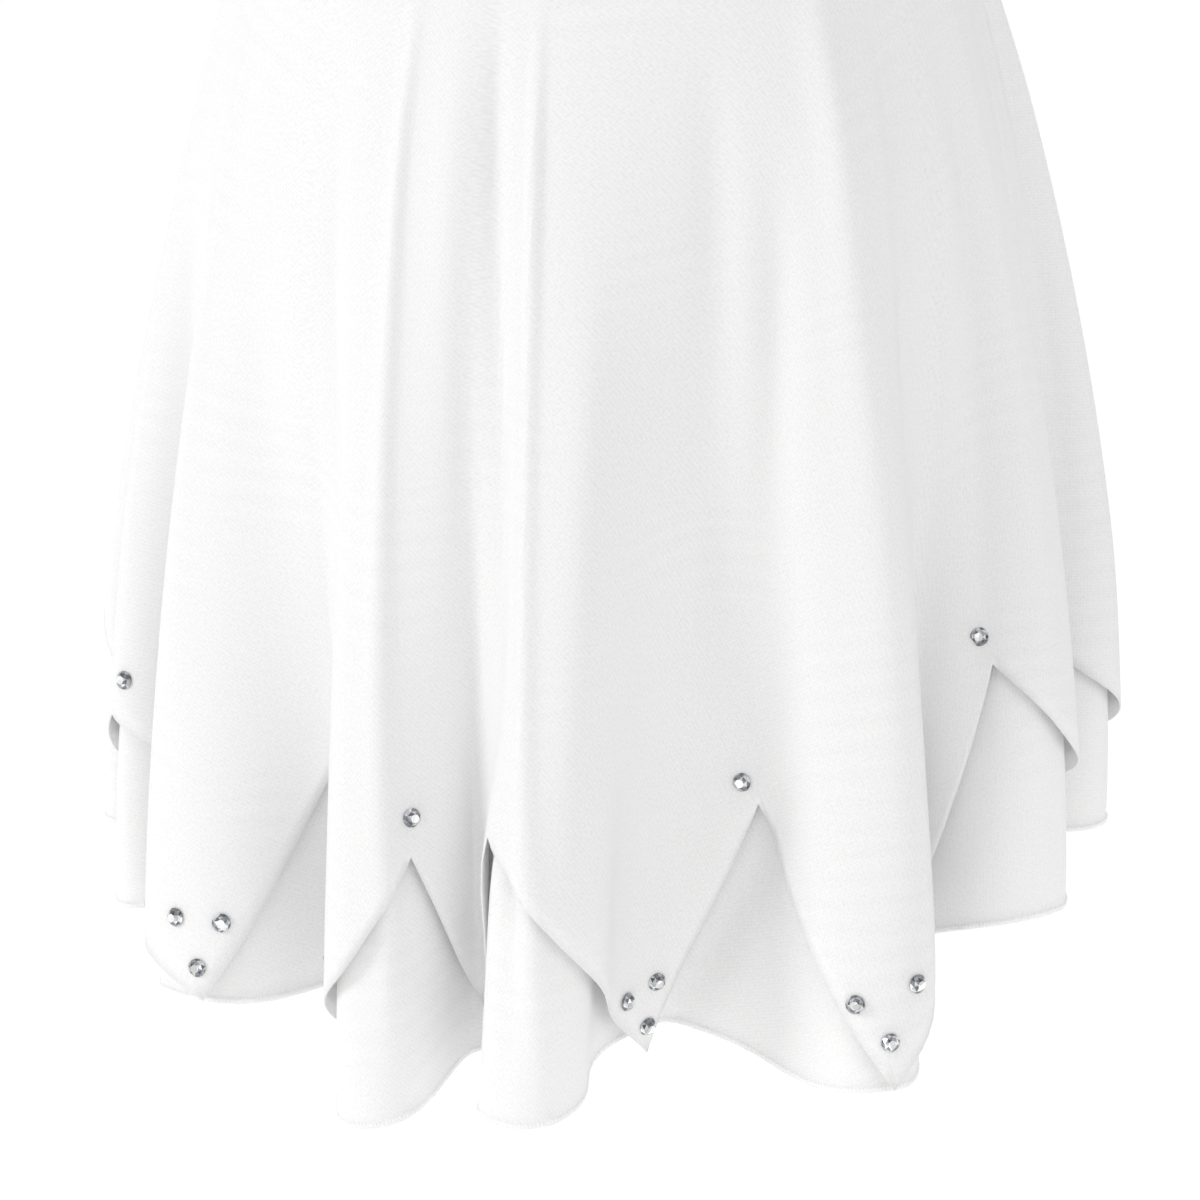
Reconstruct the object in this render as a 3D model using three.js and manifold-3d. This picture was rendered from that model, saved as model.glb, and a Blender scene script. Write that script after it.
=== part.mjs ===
// Figure skating dress: a sleeveless scoop-neck bodice, a two-layer circle skirt and the brief under it.
// Millimetres, +Z up. The front faces -Y and +X is the wearer's left. The origin is midway between the
// tops of the two shoulders, where the wearer's shoulders hold the dress up.
// Angles go round the body in degrees: 0 is centre front, 90 the wearer's left, 180 centre back.

import * as THREE from "three";
import { mergeVertices } from "three/addons/utils/BufferGeometryUtils.js";
import Module from "manifold-3d";

const wasm = await Module();
wasm.setup();

// ---- Driving dimensions ----

const clothWall = 1.2;      // stretch knit with its turned edges
const seamGap = 0.3;        // between neighbouring pieces

// Level sections of a general adult figure, size S, as the outside of the bodice lies on it
const torso = [
  { z: -110, halfWidth: 158, halfDepth: 84, back: 3 },
  { z: -190, halfWidth: 143, halfDepth: 100, back: -3 },
  { z: -265, halfWidth: 143, halfDepth: 112, back: -8 },
  { z: -325, halfWidth: 127, halfDepth: 95, back: -3 },
  { z: -385, halfWidth: 118, halfDepth: 88, back: 0 },
  { z: -443, halfWidth: 131, halfDepth: 94, back: 2 },
  { z: -520, halfWidth: 150, halfDepth: 104, back: 5 },
  { z: -600, halfWidth: 155, halfDepth: 110, back: 7 },
  { z: -660, halfWidth: 148, halfDepth: 106, back: 7 },
];
const shoulderBend = -110;  // above this the sections close to the shoulder ridge
const seatBend = -620;      // below this they close to the crotch
const crotchLevel = -722;
const shoulderSlope = 0.22; // drop of the shoulder line for each mm outwards from the neck

// Basque seam between bodice and skirt
const seamSide = -383;
const seamDip = 56;         // centre front and back are this much lower than the sides

// Neck, armholes and leg openings
const neckHalfWidth = 72;
const neckFrontDepth = 150;
const neckBackDepth = 118;
const strapWidth = 45;
const armholeWaist = 108;   // where the armhole curve comes closest to the centre
const strapEnd = -18;       // the armhole curve starts below this
const armpitLevel = -190;
const armpitWidth = 150;
const gussetHalfWidth = 33;
const gussetHeight = 16;
const legSide = { x: 156, z: -604 };

// Skirt envelope: the half sizes of the ring that the fold tips reach at the hem
const hemHalfWidth = 194;
const hemHalfDepth = 168;
const hemSide = -757;
const hemDip = 76;          // the hem hangs this much lower at centre front and back
const flare = 1.68;         // how soon the skirt springs away from the seam
const foldStart = 0.7;      // share of a fold's depth that grows evenly from the seam
const foldTurn = 0.6;       // how far the flanks of a fold turn under themselves at the hem
const hipEase = 4;          // the valleys of the folds lie this far off the hips

// The folds, in order round the hem, starting behind the wearer's right hip.
// top: angle at the seam. tip, reach: angle at the hem and share of the envelope there.
// valley, share: the same for the valley that follows. right, left: how round the two sides of the
// tip are. low: how much lower the tip hangs. lift: how much higher the valley hangs.
const folds = [
  { top: -96, tip: -73, reach: 1.01, valley: -66.5, share: 0.80, right: 0.7, left: 0.7, low: 4, lift: 0 },
  { top: -77, tip: -60, reach: 1.03, valley: -52.5, share: 0.78, right: 0.7, left: 0.7, low: 16, lift: 0 },
  { top: -58, tip: -46, reach: 1.05, valley: -27, share: 0.74, right: 0.6, left: 0.4, low: 12, lift: 24 },
  { top: -23, tip: -20, reach: 1.04, valley: -10, share: 0.76, right: 0.7, left: 0.9, low: 8, lift: 11 },
  { top: 2, tip: -2, reach: 1.02, valley: 17, share: 0.66, right: 0.5, left: -0.2, low: 0, lift: 14 },
  { top: 43, tip: 38.5, reach: 1.03, valley: 48, share: 0.74, right: -0.2, left: 0.7, low: 17, lift: 0 },
  { top: 70, tip: 63.5, reach: 1.03, valley: 73, share: 0.80, right: 0.8, left: 0.7, low: 10, lift: 0 },
  { top: 90, tip: 83, reach: 1.01, valley: 95, share: 0.78, right: 0.7, left: 0.7, low: 0, lift: 0 },
  { top: 109, tip: 105, reach: 1.00, valley: 117, share: 0.78, right: 0.7, left: 0.5, low: 2, lift: 4 },
  { top: 129, tip: 129, reach: 1.02, valley: 142, share: 0.76, right: 0.8, left: 0.6, low: 6, lift: 10 },
  { top: 152, tip: 153, reach: 1.01, valley: 164, share: 0.74, right: 0.7, left: 0.8, low: 3, lift: 14 },
  { top: 174, tip: 174, reach: 1.03, valley: 188, share: 0.78, right: 0.7, left: 0.4, low: 1, lift: 18 },
  { top: 198, tip: 203, reach: 1.02, valley: 213, share: 0.74, right: 0.6, left: 0.8, low: 5, lift: 12 },
  { top: 217, tip: 223, reach: 1.00, valley: 233, share: 0.77, right: 0.7, left: 0.7, low: 4, lift: 8 },
  { top: 235, tip: 243, reach: 1.02, valley: 254, share: 0.78, right: 0.8, left: 0.6, low: 3, lift: 4 },
  { top: 250, tip: 264, reach: 1.00, valley: 276, share: 0.79, right: 0.7, left: 0.7, low: 0, lift: 0 },
];

// How much the folds over the left hip stand out halfway down, as a share of the envelope
const swellOfFold = { 6: 0.01, 7: 0.02 };

// The zigzag edge of the outer layer. notch, point: places counted in folds, 2.5 being the valley
// after the third fold. notchUp, pointUp: height above the hem. proud: how far the point stands off.
const frontTeeth = [
  { notch: 1.02, notchUp: 68, point: 2.10, pointUp: 2, proud: 2 },
  { notch: 2.48, notchUp: 82, point: 2.74, pointUp: 8, proud: 1 },
  { notch: 3.19, notchUp: 86, point: 3.62, pointUp: 8, proud: 0.5 },
  { notch: 3.84, notchUp: 94, point: 4.44, pointUp: -4, proud: 4 },
  { notch: 4.66, notchUp: 89, point: 4.975, pointUp: 2, proud: 2 },
  { notch: 5.42, notchUp: 90, point: 5.66, pointUp: 6, proud: 4 },
  { notch: 5.80, notchUp: 94, point: 6.50, pointUp: 12, proud: 4 },
  { notch: 6.72, notchUp: 68, point: 7.60, pointUp: 5, proud: 3 },
];
const backTeeth = 10;       // spread along the rest of the hem
const backNotchUp = 90;
const backPointUp = 5;
const backProud = 1.5;
const backUneven = 6;       // hand cutting makes the teeth differ by this much
const layerGap = 3.0;       // between the two skirt layers at the hem
const hemRoll = 0.8;        // extra thickness of the rolled hem of the under layer
const hemRollHeight = 2.5;

// ---- Small helpers ----

const radians = THREE.MathUtils.degToRad;
const mix = THREE.MathUtils.lerp;

// Smooth curve through a table's rows, sorted by falling z
function readTable(rows, z, column) {
  const last = rows.length - 1;
  let i = 0;
  while (i < last - 1 && z < rows[i + 1].z) i += 1;
  const slopeAt = (k) => {
    const above = rows[Math.max(k - 1, 0)];
    const below = rows[Math.min(k + 1, last)];
    return (below[column] - above[column]) / (below.z - above.z);
  };
  const span = rows[i + 1].z - rows[i].z;
  const s = THREE.MathUtils.clamp((z - rows[i].z) / span, 0, 1);
  const s2 = s * s;
  const s3 = s2 * s;
  return (2 * s3 - 3 * s2 + 1) * rows[i][column]
    + (s3 - 2 * s2 + s) * span * slopeAt(i)
    + (3 * s2 - 2 * s3) * rows[i + 1][column]
    + (s3 - s2) * span * slopeAt(i + 1);
}

function toSolid(geometry) {
  geometry.deleteAttribute("normal");
  geometry.deleteAttribute("uv");
  const merged = mergeVertices(geometry, 1e-4);
  return new wasm.Manifold(new wasm.Mesh({
    numProp: 3,
    vertProperties: new Float32Array(merged.attributes.position.array),
    triVerts: new Uint32Array(merged.index.array),
  }));
}

function fromSolid(solid) {
  const mesh = solid.getMesh();
  const geometry = new THREE.BufferGeometry();
  geometry.setAttribute("position", new THREE.BufferAttribute(mesh.vertProperties, 3));
  geometry.setIndex(new THREE.BufferAttribute(mesh.triVerts, 1));
  geometry.computeVertexNormals();
  return geometry;
}

// Geometry from rings of points that go round the body and follow each other downwards
function fromRings(rings, closed) {
  const around = rings[0].length;
  const positions = rings.flatMap((ring) => ring.flatMap((p) => [p.x, p.y, p.z]));
  const index = [];
  const strips = closed ? rings.length : rings.length - 1;
  for (let j = 0; j < strips; j += 1) {
    for (let i = 0; i < around; i += 1) {
      const next = (i + 1) % around;
      const above = j * around;
      const below = ((j + 1) % rings.length) * around;
      if (closed && j >= rings.length / 2) {
        index.push(above + i, below + i, above + next);
        index.push(above + next, below + i, below + next);
      } else {
        index.push(above + i, below + i, below + next);
        index.push(above + i, below + next, above + next);
      }
    }
  }
  const geometry = new THREE.BufferGeometry();
  geometry.setAttribute("position", new THREE.Float32BufferAttribute(positions, 3));
  geometry.setIndex(index);
  return geometry;
}

const far = 300;            // beyond the garment on every side
const above = 40;           // beyond the shoulders and the crotch

// A slab whose outline lies in the XZ plane, from one y to another
function slab(outline, fromY, toY) {
  const geometry = new THREE.ExtrudeGeometry(outline, {
    depth: toY - fromY,
    bevelEnabled: false,
    curveSegments: 14,
  });
  geometry.rotateX(Math.PI / 2);
  geometry.translate(0, toY, 0);
  return toSolid(geometry);
}

// ---- Torso form, shared by bodice, brief and the skirt's seam ----

function section(z, inset) {
  const level = THREE.MathUtils.clamp(z, seatBend, shoulderBend);
  let closing = 1;
  let narrowing = 1;
  if (z > shoulderBend) {
    const rise = (z - shoulderBend) / (-inset - shoulderBend);
    closing = Math.sqrt(Math.max(0, 1 - rise * rise));
  }
  if (z < seatBend) {
    const fall = (seatBend - z) / (seatBend - crotchLevel - inset);
    closing = Math.sqrt(Math.max(0, 1 - fall * fall));
    narrowing = closing;
  }
  return {
    halfWidth: (readTable(torso, level, "halfWidth") - inset) * narrowing,
    halfDepth: (readTable(torso, level, "halfDepth") - inset) * closing,
    back: readTable(torso, level, "back"),
  };
}

function torsoPoint(angle, z, inset) {
  const s = section(z, inset);
  const x = s.halfWidth * Math.sin(radians(angle));
  const y = s.back - s.halfDepth * Math.cos(radians(angle));
  const high = THREE.MathUtils.smoothstep(z, shoulderBend, 0);
  const outside = Math.max(0, Math.abs(x) - neckHalfWidth);
  return new THREE.Vector3(x, y, z - shoulderSlope * outside * high);
}

const frontness = (angle) => Math.cos(radians(angle)) ** 2;
const seamLevel = (angle) => seamSide - seamDip * frontness(angle);

// ---- Bodice ----

const torsoColumns = 40;
const bodiceRows = 15;
const capShare = 0.85;      // middle ring of the flat cap at the waist
const crowding = 0.55;

// Rows crowd towards the closed end, where the form rounds over
const crowded = (s) => mix(s, Math.sin(s * Math.PI / 2), crowding);

function bodiceForm(inset, reach) {
  const angles = Array.from({ length: torsoColumns }, (_, i) => (i * 360) / torsoColumns);
  const rings = [angles.map(() => new THREE.Vector3(0, 0, seamSide - seamDip / 2 - reach))];
  rings.push(angles.map((a) => {
    const rim = torsoPoint(a, seamLevel(a), inset);
    return new THREE.Vector3(rim.x * capShare, rim.y * capShare, rim.z - reach);
  }));
  const top = -inset;
  for (let j = 0; j <= bodiceRows; j += 1) {
    const share = crowded(j / bodiceRows);
    rings.push(angles.map((a) => torsoPoint(a, mix(seamLevel(a) - reach, top, share), inset)));
  }
  return toSolid(fromRings(rings.reverse(), false));
}

function neckOutline(depth) {
  const w = neckHalfWidth;
  const outline = new THREE.Shape();
  outline.moveTo(-w, above);
  outline.lineTo(-w, -depth * 0.3);
  outline.bezierCurveTo(-w, -depth * 0.8, -w * 0.55, -depth, 0, -depth);
  outline.bezierCurveTo(w * 0.55, -depth, w, -depth * 0.8, w, -depth * 0.3);
  outline.lineTo(w, above);
  outline.closePath();
  return outline;
}

function armholeOutline(side) {
  const strapEdge = neckHalfWidth + strapWidth;
  const outline = new THREE.Shape();
  outline.moveTo(side * strapEdge, above);
  outline.lineTo(side * strapEdge, strapEnd);
  outline.bezierCurveTo(
    side * armholeWaist, -70,
    side * (armholeWaist + 2), armpitLevel + 6,
    side * armpitWidth, armpitLevel,
  );
  outline.lineTo(side * far, armpitLevel);
  outline.lineTo(side * far, above);
  outline.closePath();
  return outline;
}

// Parts a garment form at its side seams, which run in the plane of the shoulders
function frontAndBack(solid) {
  const around = new THREE.Shape();
  around.moveTo(-far, far);
  around.lineTo(-far, -3 * far);
  around.lineTo(far, -3 * far);
  around.lineTo(far, far);
  around.closePath();
  return {
    front: solid.intersect(slab(around, -far, -seamGap / 2)),
    back: solid.intersect(slab(around, seamGap / 2, far)),
  };
}

function bodicePieces() {
  const wall = bodiceForm(0, 0).subtract(bodiceForm(clothWall, 5));
  const open = wall
    .subtract(slab(neckOutline(neckFrontDepth), -far, 0))
    .subtract(slab(neckOutline(neckBackDepth), 0, far))
    .subtract(slab(armholeOutline(1), -far, far))
    .subtract(slab(armholeOutline(-1), -far, far));
  return frontAndBack(open);
}

// ---- Skirt ----

// A place round the hem is counted in folds: whole numbers are tips and halves are valleys
function foldAt(place) {
  const count = folds.length;
  const index = ((Math.floor(place) % count) + count) % count;
  const turns = Math.floor(place / count);
  const here = folds[index];
  const after = folds[(index + 1) % count];
  const wrap = index + 1 === count ? 360 : 0;
  const half = (place - Math.floor(place)) * 2;
  const leaving = half < 1;
  return {
    turns,
    fromTip: leaving ? half : 2 - half,          // 0 at the tip, 1 at the valley
    tip: leaving ? here.tip : after.tip + wrap,
    reach: leaving ? here.reach : after.reach,
    low: leaving ? here.low : after.low,
    round: leaving ? here.left : after.right,
    top: leaving ? here.top : after.top + wrap,
    topMiddle: (here.top + after.top + wrap) / 2,
    valley: here.valley,
    share: here.share,
    lift: here.lift,
    swell: swellOfFold[leaving ? index : (index + 1) % count] ?? 0,
  };
}

// Keeps a half size of the skirt clear of the hips inside it, with a soft change from hanging to lying on
function overHips(size, hips, down) {
  const ease = hipEase * (1 - Math.pow(1 - THREE.MathUtils.clamp(down, 0, 1), 8));
  const spare = size - hips - ease;
  return hips + ease + (spare + Math.hypot(spare, ease)) / 2;
}

// A point of the skirt's middle surface; down is 0 at the seam and 1 at the hem
function skirtPoint(place, down) {
  const f = foldAt(place);
  const grown = Math.pow(THREE.MathUtils.clamp(down, 0, 1), 1.5);
  const turn = f.fromTip
    + grown * (f.round * Math.sin(Math.PI * f.fromTip) / Math.PI
    + foldTurn * Math.sin(2 * Math.PI * f.fromTip) / (2 * Math.PI));
  const hemAngle = mix(f.tip, f.valley, turn);
  const tipness = 0.5 + 0.5 * Math.cos(Math.PI * f.fromTip);
  const seamAngle = mix(f.top, f.topMiddle, f.fromTip);
  const angle = mix(seamAngle, hemAngle, down);
  const depth = foldStart * down + (1 - foldStart) * down * down;
  const standsOut = f.swell * tipness * 4 * down * (1 - down);
  const share = 1 + (mix(f.share, f.reach, tipness) - 1) * depth + standsOut;
  const spring = 1 - Math.pow(1 - THREE.MathUtils.clamp(down, 0, 1), flare);
  const seam = section(seamLevel(angle), 0);
  const front = frontness(mix(f.valley, f.tip, tipness));
  const hemLevel = hemSide - hemDip * front * front * (3 - 2 * front)
    - f.low * tipness + f.lift * (1 - tipness);
  const z = mix(seamLevel(angle), hemLevel, down);
  const hips = section(z, 0);
  const halfWidth = overHips(mix(seam.halfWidth, hemHalfWidth, spring) * share, hips.halfWidth, down);
  const halfDepth = overHips(mix(seam.halfDepth, hemHalfDepth, spring) * share, hips.halfDepth, down);
  return new THREE.Vector3(
    halfWidth * Math.sin(radians(angle)),
    mix(seam.back, 0, down) - halfDepth * Math.cos(radians(angle)),
    z - seamGap,
  );
}

function skirtNormal(place, down) {
  const stepRound = 0.01;
  const stepDown = 0.004;
  const round = skirtPoint(place + stepRound, down).sub(skirtPoint(place - stepRound, down));
  const fall = skirtPoint(place, down + stepDown).sub(skirtPoint(place, Math.max(0, down - stepDown)));
  return fall.cross(round).normalize();
}

// Hem length measured place by place, so that the teeth can be spread along it
const hemSteps = 60;
const hemLength = [0];
for (let k = 1; k <= folds.length * hemSteps; k += 1) {
  const step = skirtPoint(k / hemSteps, 1).distanceTo(skirtPoint((k - 1) / hemSteps, 1));
  hemLength.push(hemLength[k - 1] + step);
}
const wholeHem = hemLength[hemLength.length - 1];

function lengthAt(place) {
  const turns = Math.floor(place / folds.length);
  const k = (place - turns * folds.length) * hemSteps;
  const low = Math.min(Math.floor(k), hemLength.length - 2);
  return mix(hemLength[low], hemLength[low + 1], k - low) + turns * wholeHem;
}

function placeAt(length) {
  const turns = Math.floor(length / wholeHem);
  const rest = length - turns * wholeHem;
  let k = 0;
  while (hemLength[k + 1] < rest) k += 1;
  const part = (rest - hemLength[k]) / (hemLength[k + 1] - hemLength[k]);
  return (k + part) / hemSteps + turns * folds.length;
}

// The zigzag's corners in order: place along the hem, height above it, and how far they stand off
function zigzagCorners() {
  const corners = [];
  for (const t of frontTeeth) {
    corners.push({ at: lengthAt(t.notch), up: t.notchUp, proud: 0 });
    corners.push({ at: lengthAt(t.point), up: t.pointUp, proud: t.proud });
  }
  const start = corners[corners.length - 1].at;
  const end = corners[0].at + wholeHem;
  const halfTooth = (end - start) / (2 * backTeeth + 1);
  for (let k = 1; k <= 2 * backTeeth; k += 1) {
    const uneven = backUneven * Math.sin(2.3 * k);
    const isNotch = k % 2 === 1;
    corners.push({
      at: start + k * halfTooth + uneven,
      up: isNotch ? backNotchUp + uneven : backPointUp,
      proud: isNotch ? 0 : backProud,
    });
  }
  return corners;
}

// Columns of the skirt walls: every corner of the zigzag, and between two of them one wherever the
// cloth has run on or turned far enough at the hem
const columnStep = 17;
const columnTurn = radians(31);
const probesPerFold = 48;

function skirtColumns() {
  const corners = zigzagCorners();
  const columns = [];
  corners.forEach((corner, k) => {
    const next = corners[(k + 1) % corners.length];
    const end = next.at + (k + 1 === corners.length ? wholeHem : 0);
    const add = (at) => {
      const s = (at - corner.at) / (end - corner.at);
      columns.push({
        place: placeAt(at),
        up: mix(corner.up, next.up, s),
        proud: mix(corner.proud, next.proud, s),
      });
    };
    add(corner.at);
    let kept = corner.at;
    let facing = skirtNormal(placeAt(kept), 1);
    let turned = 0;
    const probe = wholeHem / (folds.length * probesPerFold);
    for (let at = kept + probe; at < end - columnStep / 3; at += probe) {
      const normal = skirtNormal(placeAt(at), 1);
      turned += normal.angleTo(facing);
      facing = normal;
      if (at - kept > columnStep || turned > columnTurn) {
        add(at);
        kept = at;
        turned = 0;
      }
    }
  });
  return columns;
}

const skirtDrop = seamSide - hemSide;
const plainAbove = 100;     // rows are level down to this height above the hem, higher than any notch
const wallColumns = skirtColumns();

function wallRing(rowOf, offsetOf) {
  return wallColumns.map((column) => {
    const down = rowOf(column);
    const normal = skirtNormal(column.place, down);
    return skirtPoint(column.place, down).addScaledVector(normal, offsetOf(column, down));
  });
}

// A closed wall: its outer rings from the seam to the hem, then its inner rings back up
function skirtWall(rows, outside, inside) {
  const outer = rows.map((rowOf) => wallRing(rowOf, outside));
  const inner = rows.map((rowOf) => wallRing(rowOf, inside)).reverse();
  return fromRings([...outer, ...inner], true);
}

function outerLayer() {
  const rowCount = 8;
  const highestNotch = 1 - plainAbove / skirtDrop;
  const rows = [];
  for (let j = 0; j <= rowCount; j += 1) {
    const s = j / rowCount;
    rows.push((column) => {
      const end = 1 - column.up / skirtDrop;
      return s * highestNotch + s ** 3 * (end - highestNotch);
    });
  }
  const proud = (column, down) => column.proud * down ** 4;
  return skirtWall(
    rows,
    (column, down) => proud(column, down) + clothWall / 2,
    (column, down) => proud(column, down) - clothWall / 2,
  );
}

function underLayer() {
  const rowCount = 6;
  const rollTop = 1 - hemRollHeight / skirtDrop;
  const rows = [];
  for (let j = 0; j <= rowCount; j += 1) {
    rows.push(() => (j / rowCount) * rollTop);
  }
  rows.push(() => 1 - (hemRollHeight - hemRoll) / skirtDrop);
  rows.push(() => 1);
  const gap = (down) => mix(seamGap, layerGap, 1 - (1 - down) ** 2);
  const roll = (down) => (down > rollTop + 1e-6 ? hemRoll / 2 : 0);
  const outside = (column, down) => -clothWall / 2 - gap(down) + roll(down);
  return skirtWall(rows, outside, (column, down) => outside(column, down) - clothWall - 2 * roll(down));
}

// ---- Brief ----

const briefRows = 12;

function briefForm(inset, reach) {
  const angles = Array.from({ length: torsoColumns }, (_, i) => (i * 360) / torsoColumns);
  const rings = [];
  rings.push(angles.map(() => new THREE.Vector3(0, 0, seamSide - seamDip / 2 - seamGap + reach)));
  rings.push(angles.map((a) => {
    const rim = torsoPoint(a, seamLevel(a), inset);
    return new THREE.Vector3(rim.x * capShare, rim.y * capShare, rim.z - seamGap + reach);
  }));
  const bottom = crotchLevel + inset;
  for (let j = 0; j <= briefRows; j += 1) {
    const share = crowded(j / briefRows);
    rings.push(angles.map((a) => {
      const z = mix(seamLevel(a) - seamGap + reach, bottom, share);
      return torsoPoint(a, z, inset);
    }));
  }
  return toSolid(fromRings(rings, false));
}

// The opening for one leg, cut higher in front than behind
function legOutline(side, curve) {
  const outline = new THREE.Shape();
  outline.moveTo(side * gussetHalfWidth, crotchLevel - above);
  outline.lineTo(side * gussetHalfWidth, crotchLevel + gussetHeight);
  outline.bezierCurveTo(
    side * curve.nearX, curve.nearZ,
    side * curve.farX, curve.farZ,
    side * legSide.x, legSide.z,
  );
  outline.lineTo(side * far, legSide.z);
  outline.lineTo(side * far, crotchLevel - above);
  outline.closePath();
  return outline;
}

function briefPieces() {
  const cutOverlap = 0.1;
  const inset = 2 * (clothWall + seamGap);
  const front = { nearX: 52, nearZ: -672, farX: 110, farZ: -628 };
  const back = { nearX: 66, nearZ: -712, farX: 132, farZ: -652 };
  const open = briefForm(inset, 0)
    .subtract(briefForm(inset + clothWall, 5))
    .subtract(slab(legOutline(1, front), -far, cutOverlap))
    .subtract(slab(legOutline(-1, front), -far, cutOverlap))
    .subtract(slab(legOutline(1, back), 0, far))
    .subtract(slab(legOutline(-1, back), 0, far));
  return frontAndBack(open);
}

// ---- Scene ----

const whiteKnit = { color: 0xf2f2ee, roughness: 0.78, metalness: 0 };

function addPiece(group, name, geometry, look) {
  const mesh = new THREE.Mesh(geometry, new THREE.MeshStandardMaterial(look));
  mesh.name = name;
  group.add(mesh);
}

const dress = new THREE.Group();
const bodice = bodicePieces();
const brief = briefPieces();
addPiece(dress, "bodice_front", fromSolid(bodice.front), whiteKnit);
addPiece(dress, "bodice_back", fromSolid(bodice.back), whiteKnit);
addPiece(dress, "skirt_outer", outerLayer(), { ...whiteKnit, color: 0xf6f6f3 });
addPiece(dress, "skirt_under", underLayer(), { ...whiteKnit, color: 0xf4f4f1 });
addPiece(dress, "brief_front", fromSolid(brief.front), whiteKnit);
addPiece(dress, "brief_back", fromSolid(brief.back), whiteKnit);

export default dress;
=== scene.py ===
import math

import bmesh
import bpy
import numpy as np
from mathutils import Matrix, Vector


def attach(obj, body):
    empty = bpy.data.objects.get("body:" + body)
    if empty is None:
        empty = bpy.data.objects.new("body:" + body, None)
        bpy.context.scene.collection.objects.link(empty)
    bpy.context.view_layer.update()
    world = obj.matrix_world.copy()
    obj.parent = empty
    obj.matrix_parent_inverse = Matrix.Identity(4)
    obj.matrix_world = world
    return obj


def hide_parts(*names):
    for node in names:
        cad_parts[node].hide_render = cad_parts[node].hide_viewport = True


# White figure skating dress: two-layer circle skirt with a zigzag raw edge and flat-back stones,
# sleeveless bodice and the brief under the skirt. Garment sizes are in millimetres, as it was cut;
# everything is turned to metres when a mesh is made. Front is -Y, the wearer's left is +X.

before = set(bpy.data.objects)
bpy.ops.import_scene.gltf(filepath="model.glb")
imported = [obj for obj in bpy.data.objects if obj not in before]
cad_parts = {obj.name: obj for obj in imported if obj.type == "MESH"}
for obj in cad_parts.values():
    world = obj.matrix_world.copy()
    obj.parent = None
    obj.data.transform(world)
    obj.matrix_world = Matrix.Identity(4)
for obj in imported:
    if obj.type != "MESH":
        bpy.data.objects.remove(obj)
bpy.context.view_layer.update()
mm = 0.001


def linearColour(hexText):
    channels = [int(hexText[i:i + 2], 16) / 255 for i in (1, 3, 5)]
    linear = [c / 12.92 if c <= 0.04045 else ((c + 0.055) / 1.055) ** 2.4 for c in channels]
    return (*linear, 1)


def addNode(tree, kind, settings=None, values=None, links=None):
    node = tree.nodes.new(kind)
    for key, value in (settings or {}).items():
        setattr(node, key, value)
    for key, value in (values or {}).items():
        node.inputs[key].default_value = value
    for key, source in (links or {}).items():
        tree.links.new(source, node.inputs[key])
    return node


# Math node whose inputs are numbers or other nodes' outputs
def mathNode(tree, operation, *given):
    node = addNode(tree, "ShaderNodeMath", {"operation": operation})
    for k, value in enumerate(given):
        if isinstance(value, (int, float)):
            node.inputs[k].default_value = value
        else:
            tree.links.new(value, node.inputs[k])
    return node.outputs["Value"]


def mix(a, b, share):
    return a + (b - a) * share


def smoothStep(value, low, high):
    share = np.clip((value - low) / (high - low), 0, 1)
    return share * share * (3 - 2 * share)


def tableColumns(names, rows):
    return {name: np.array(column, float) for name, column in zip(names, zip(*rows))}


def addObject(name, data):
    obj = bpy.data.objects.new(name, data)
    bpy.context.scene.collection.objects.link(obj)
    return obj


# Builds a mesh object from points in millimetres; uvs in metres, one pair for each face corner
def makeMesh(name, points, faces, material, uvs=None, smooth=True):
    mesh = bpy.data.meshes.new(name)
    mesh.from_pydata((np.asarray(points) * mm).tolist(), [], faces)
    mesh.materials.append(material)
    if uvs is not None:
        layer = mesh.uv_layers.new(name="cut")
        layer.data.foreach_set("uv", np.asarray(uvs, np.float32).ravel())
    mesh.polygons.foreach_set("use_smooth", [smooth] * len(mesh.polygons))
    mesh.update()
    return addObject(name, mesh)


studio = {
    "cameraAt": (187.9, -1336.9, -385),
    "lookAt": (-1.9, 0.3, -683),
    "viewWidth": 456,            # what the frame takes in at the distance of the look-at point
    "sensor": 36,
    "floorAt": -1380,            # where the wearer's soles would be
    "floorHalf": 40000,
    "wall": 1.0,                 # the white wall all round, up to this share of straight up
    "wallTop": 0.22,
    "ceiling": 0.66,
    "floorGlow": 0.36,           # the floor has lamps of its own beyond the frame
    "keyAt": (-2300, -1250, 500),
    "keySize": 700,
    "keyWatts": 27,
    "fillAt": (1700, -1900, 500),
    "fillSize": 1400,
    "fillWatts": 9,
    "lampAim": (0, 0, -600),
}


def makeCamera():
    data = bpy.data.cameras.new("camera")
    camera = addObject("camera", data)
    at = Vector(studio["cameraAt"]) * mm
    target = Vector(studio["lookAt"]) * mm
    camera.location = at
    camera.rotation_euler = (target - at).to_track_quat("-Z", "Y").to_euler()
    data.sensor_width = studio["sensor"]
    data.lens = studio["sensor"] * (target - at).length / (studio["viewWidth"] * mm)
    data.clip_start = 0.05
    data.clip_end = 200
    bpy.context.scene.camera = camera


def makeLamp(name, at, size, watts):
    data = bpy.data.lights.new(name, "AREA")
    data.shape = "SQUARE"
    data.size = size * mm
    data.energy = watts
    lamp = addObject(name, data)
    lamp.location = Vector(at) * mm
    aim = Vector(studio["lampAim"]) * mm
    lamp.rotation_euler = (aim - lamp.location).to_track_quat("-Z", "Y").to_euler()


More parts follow.
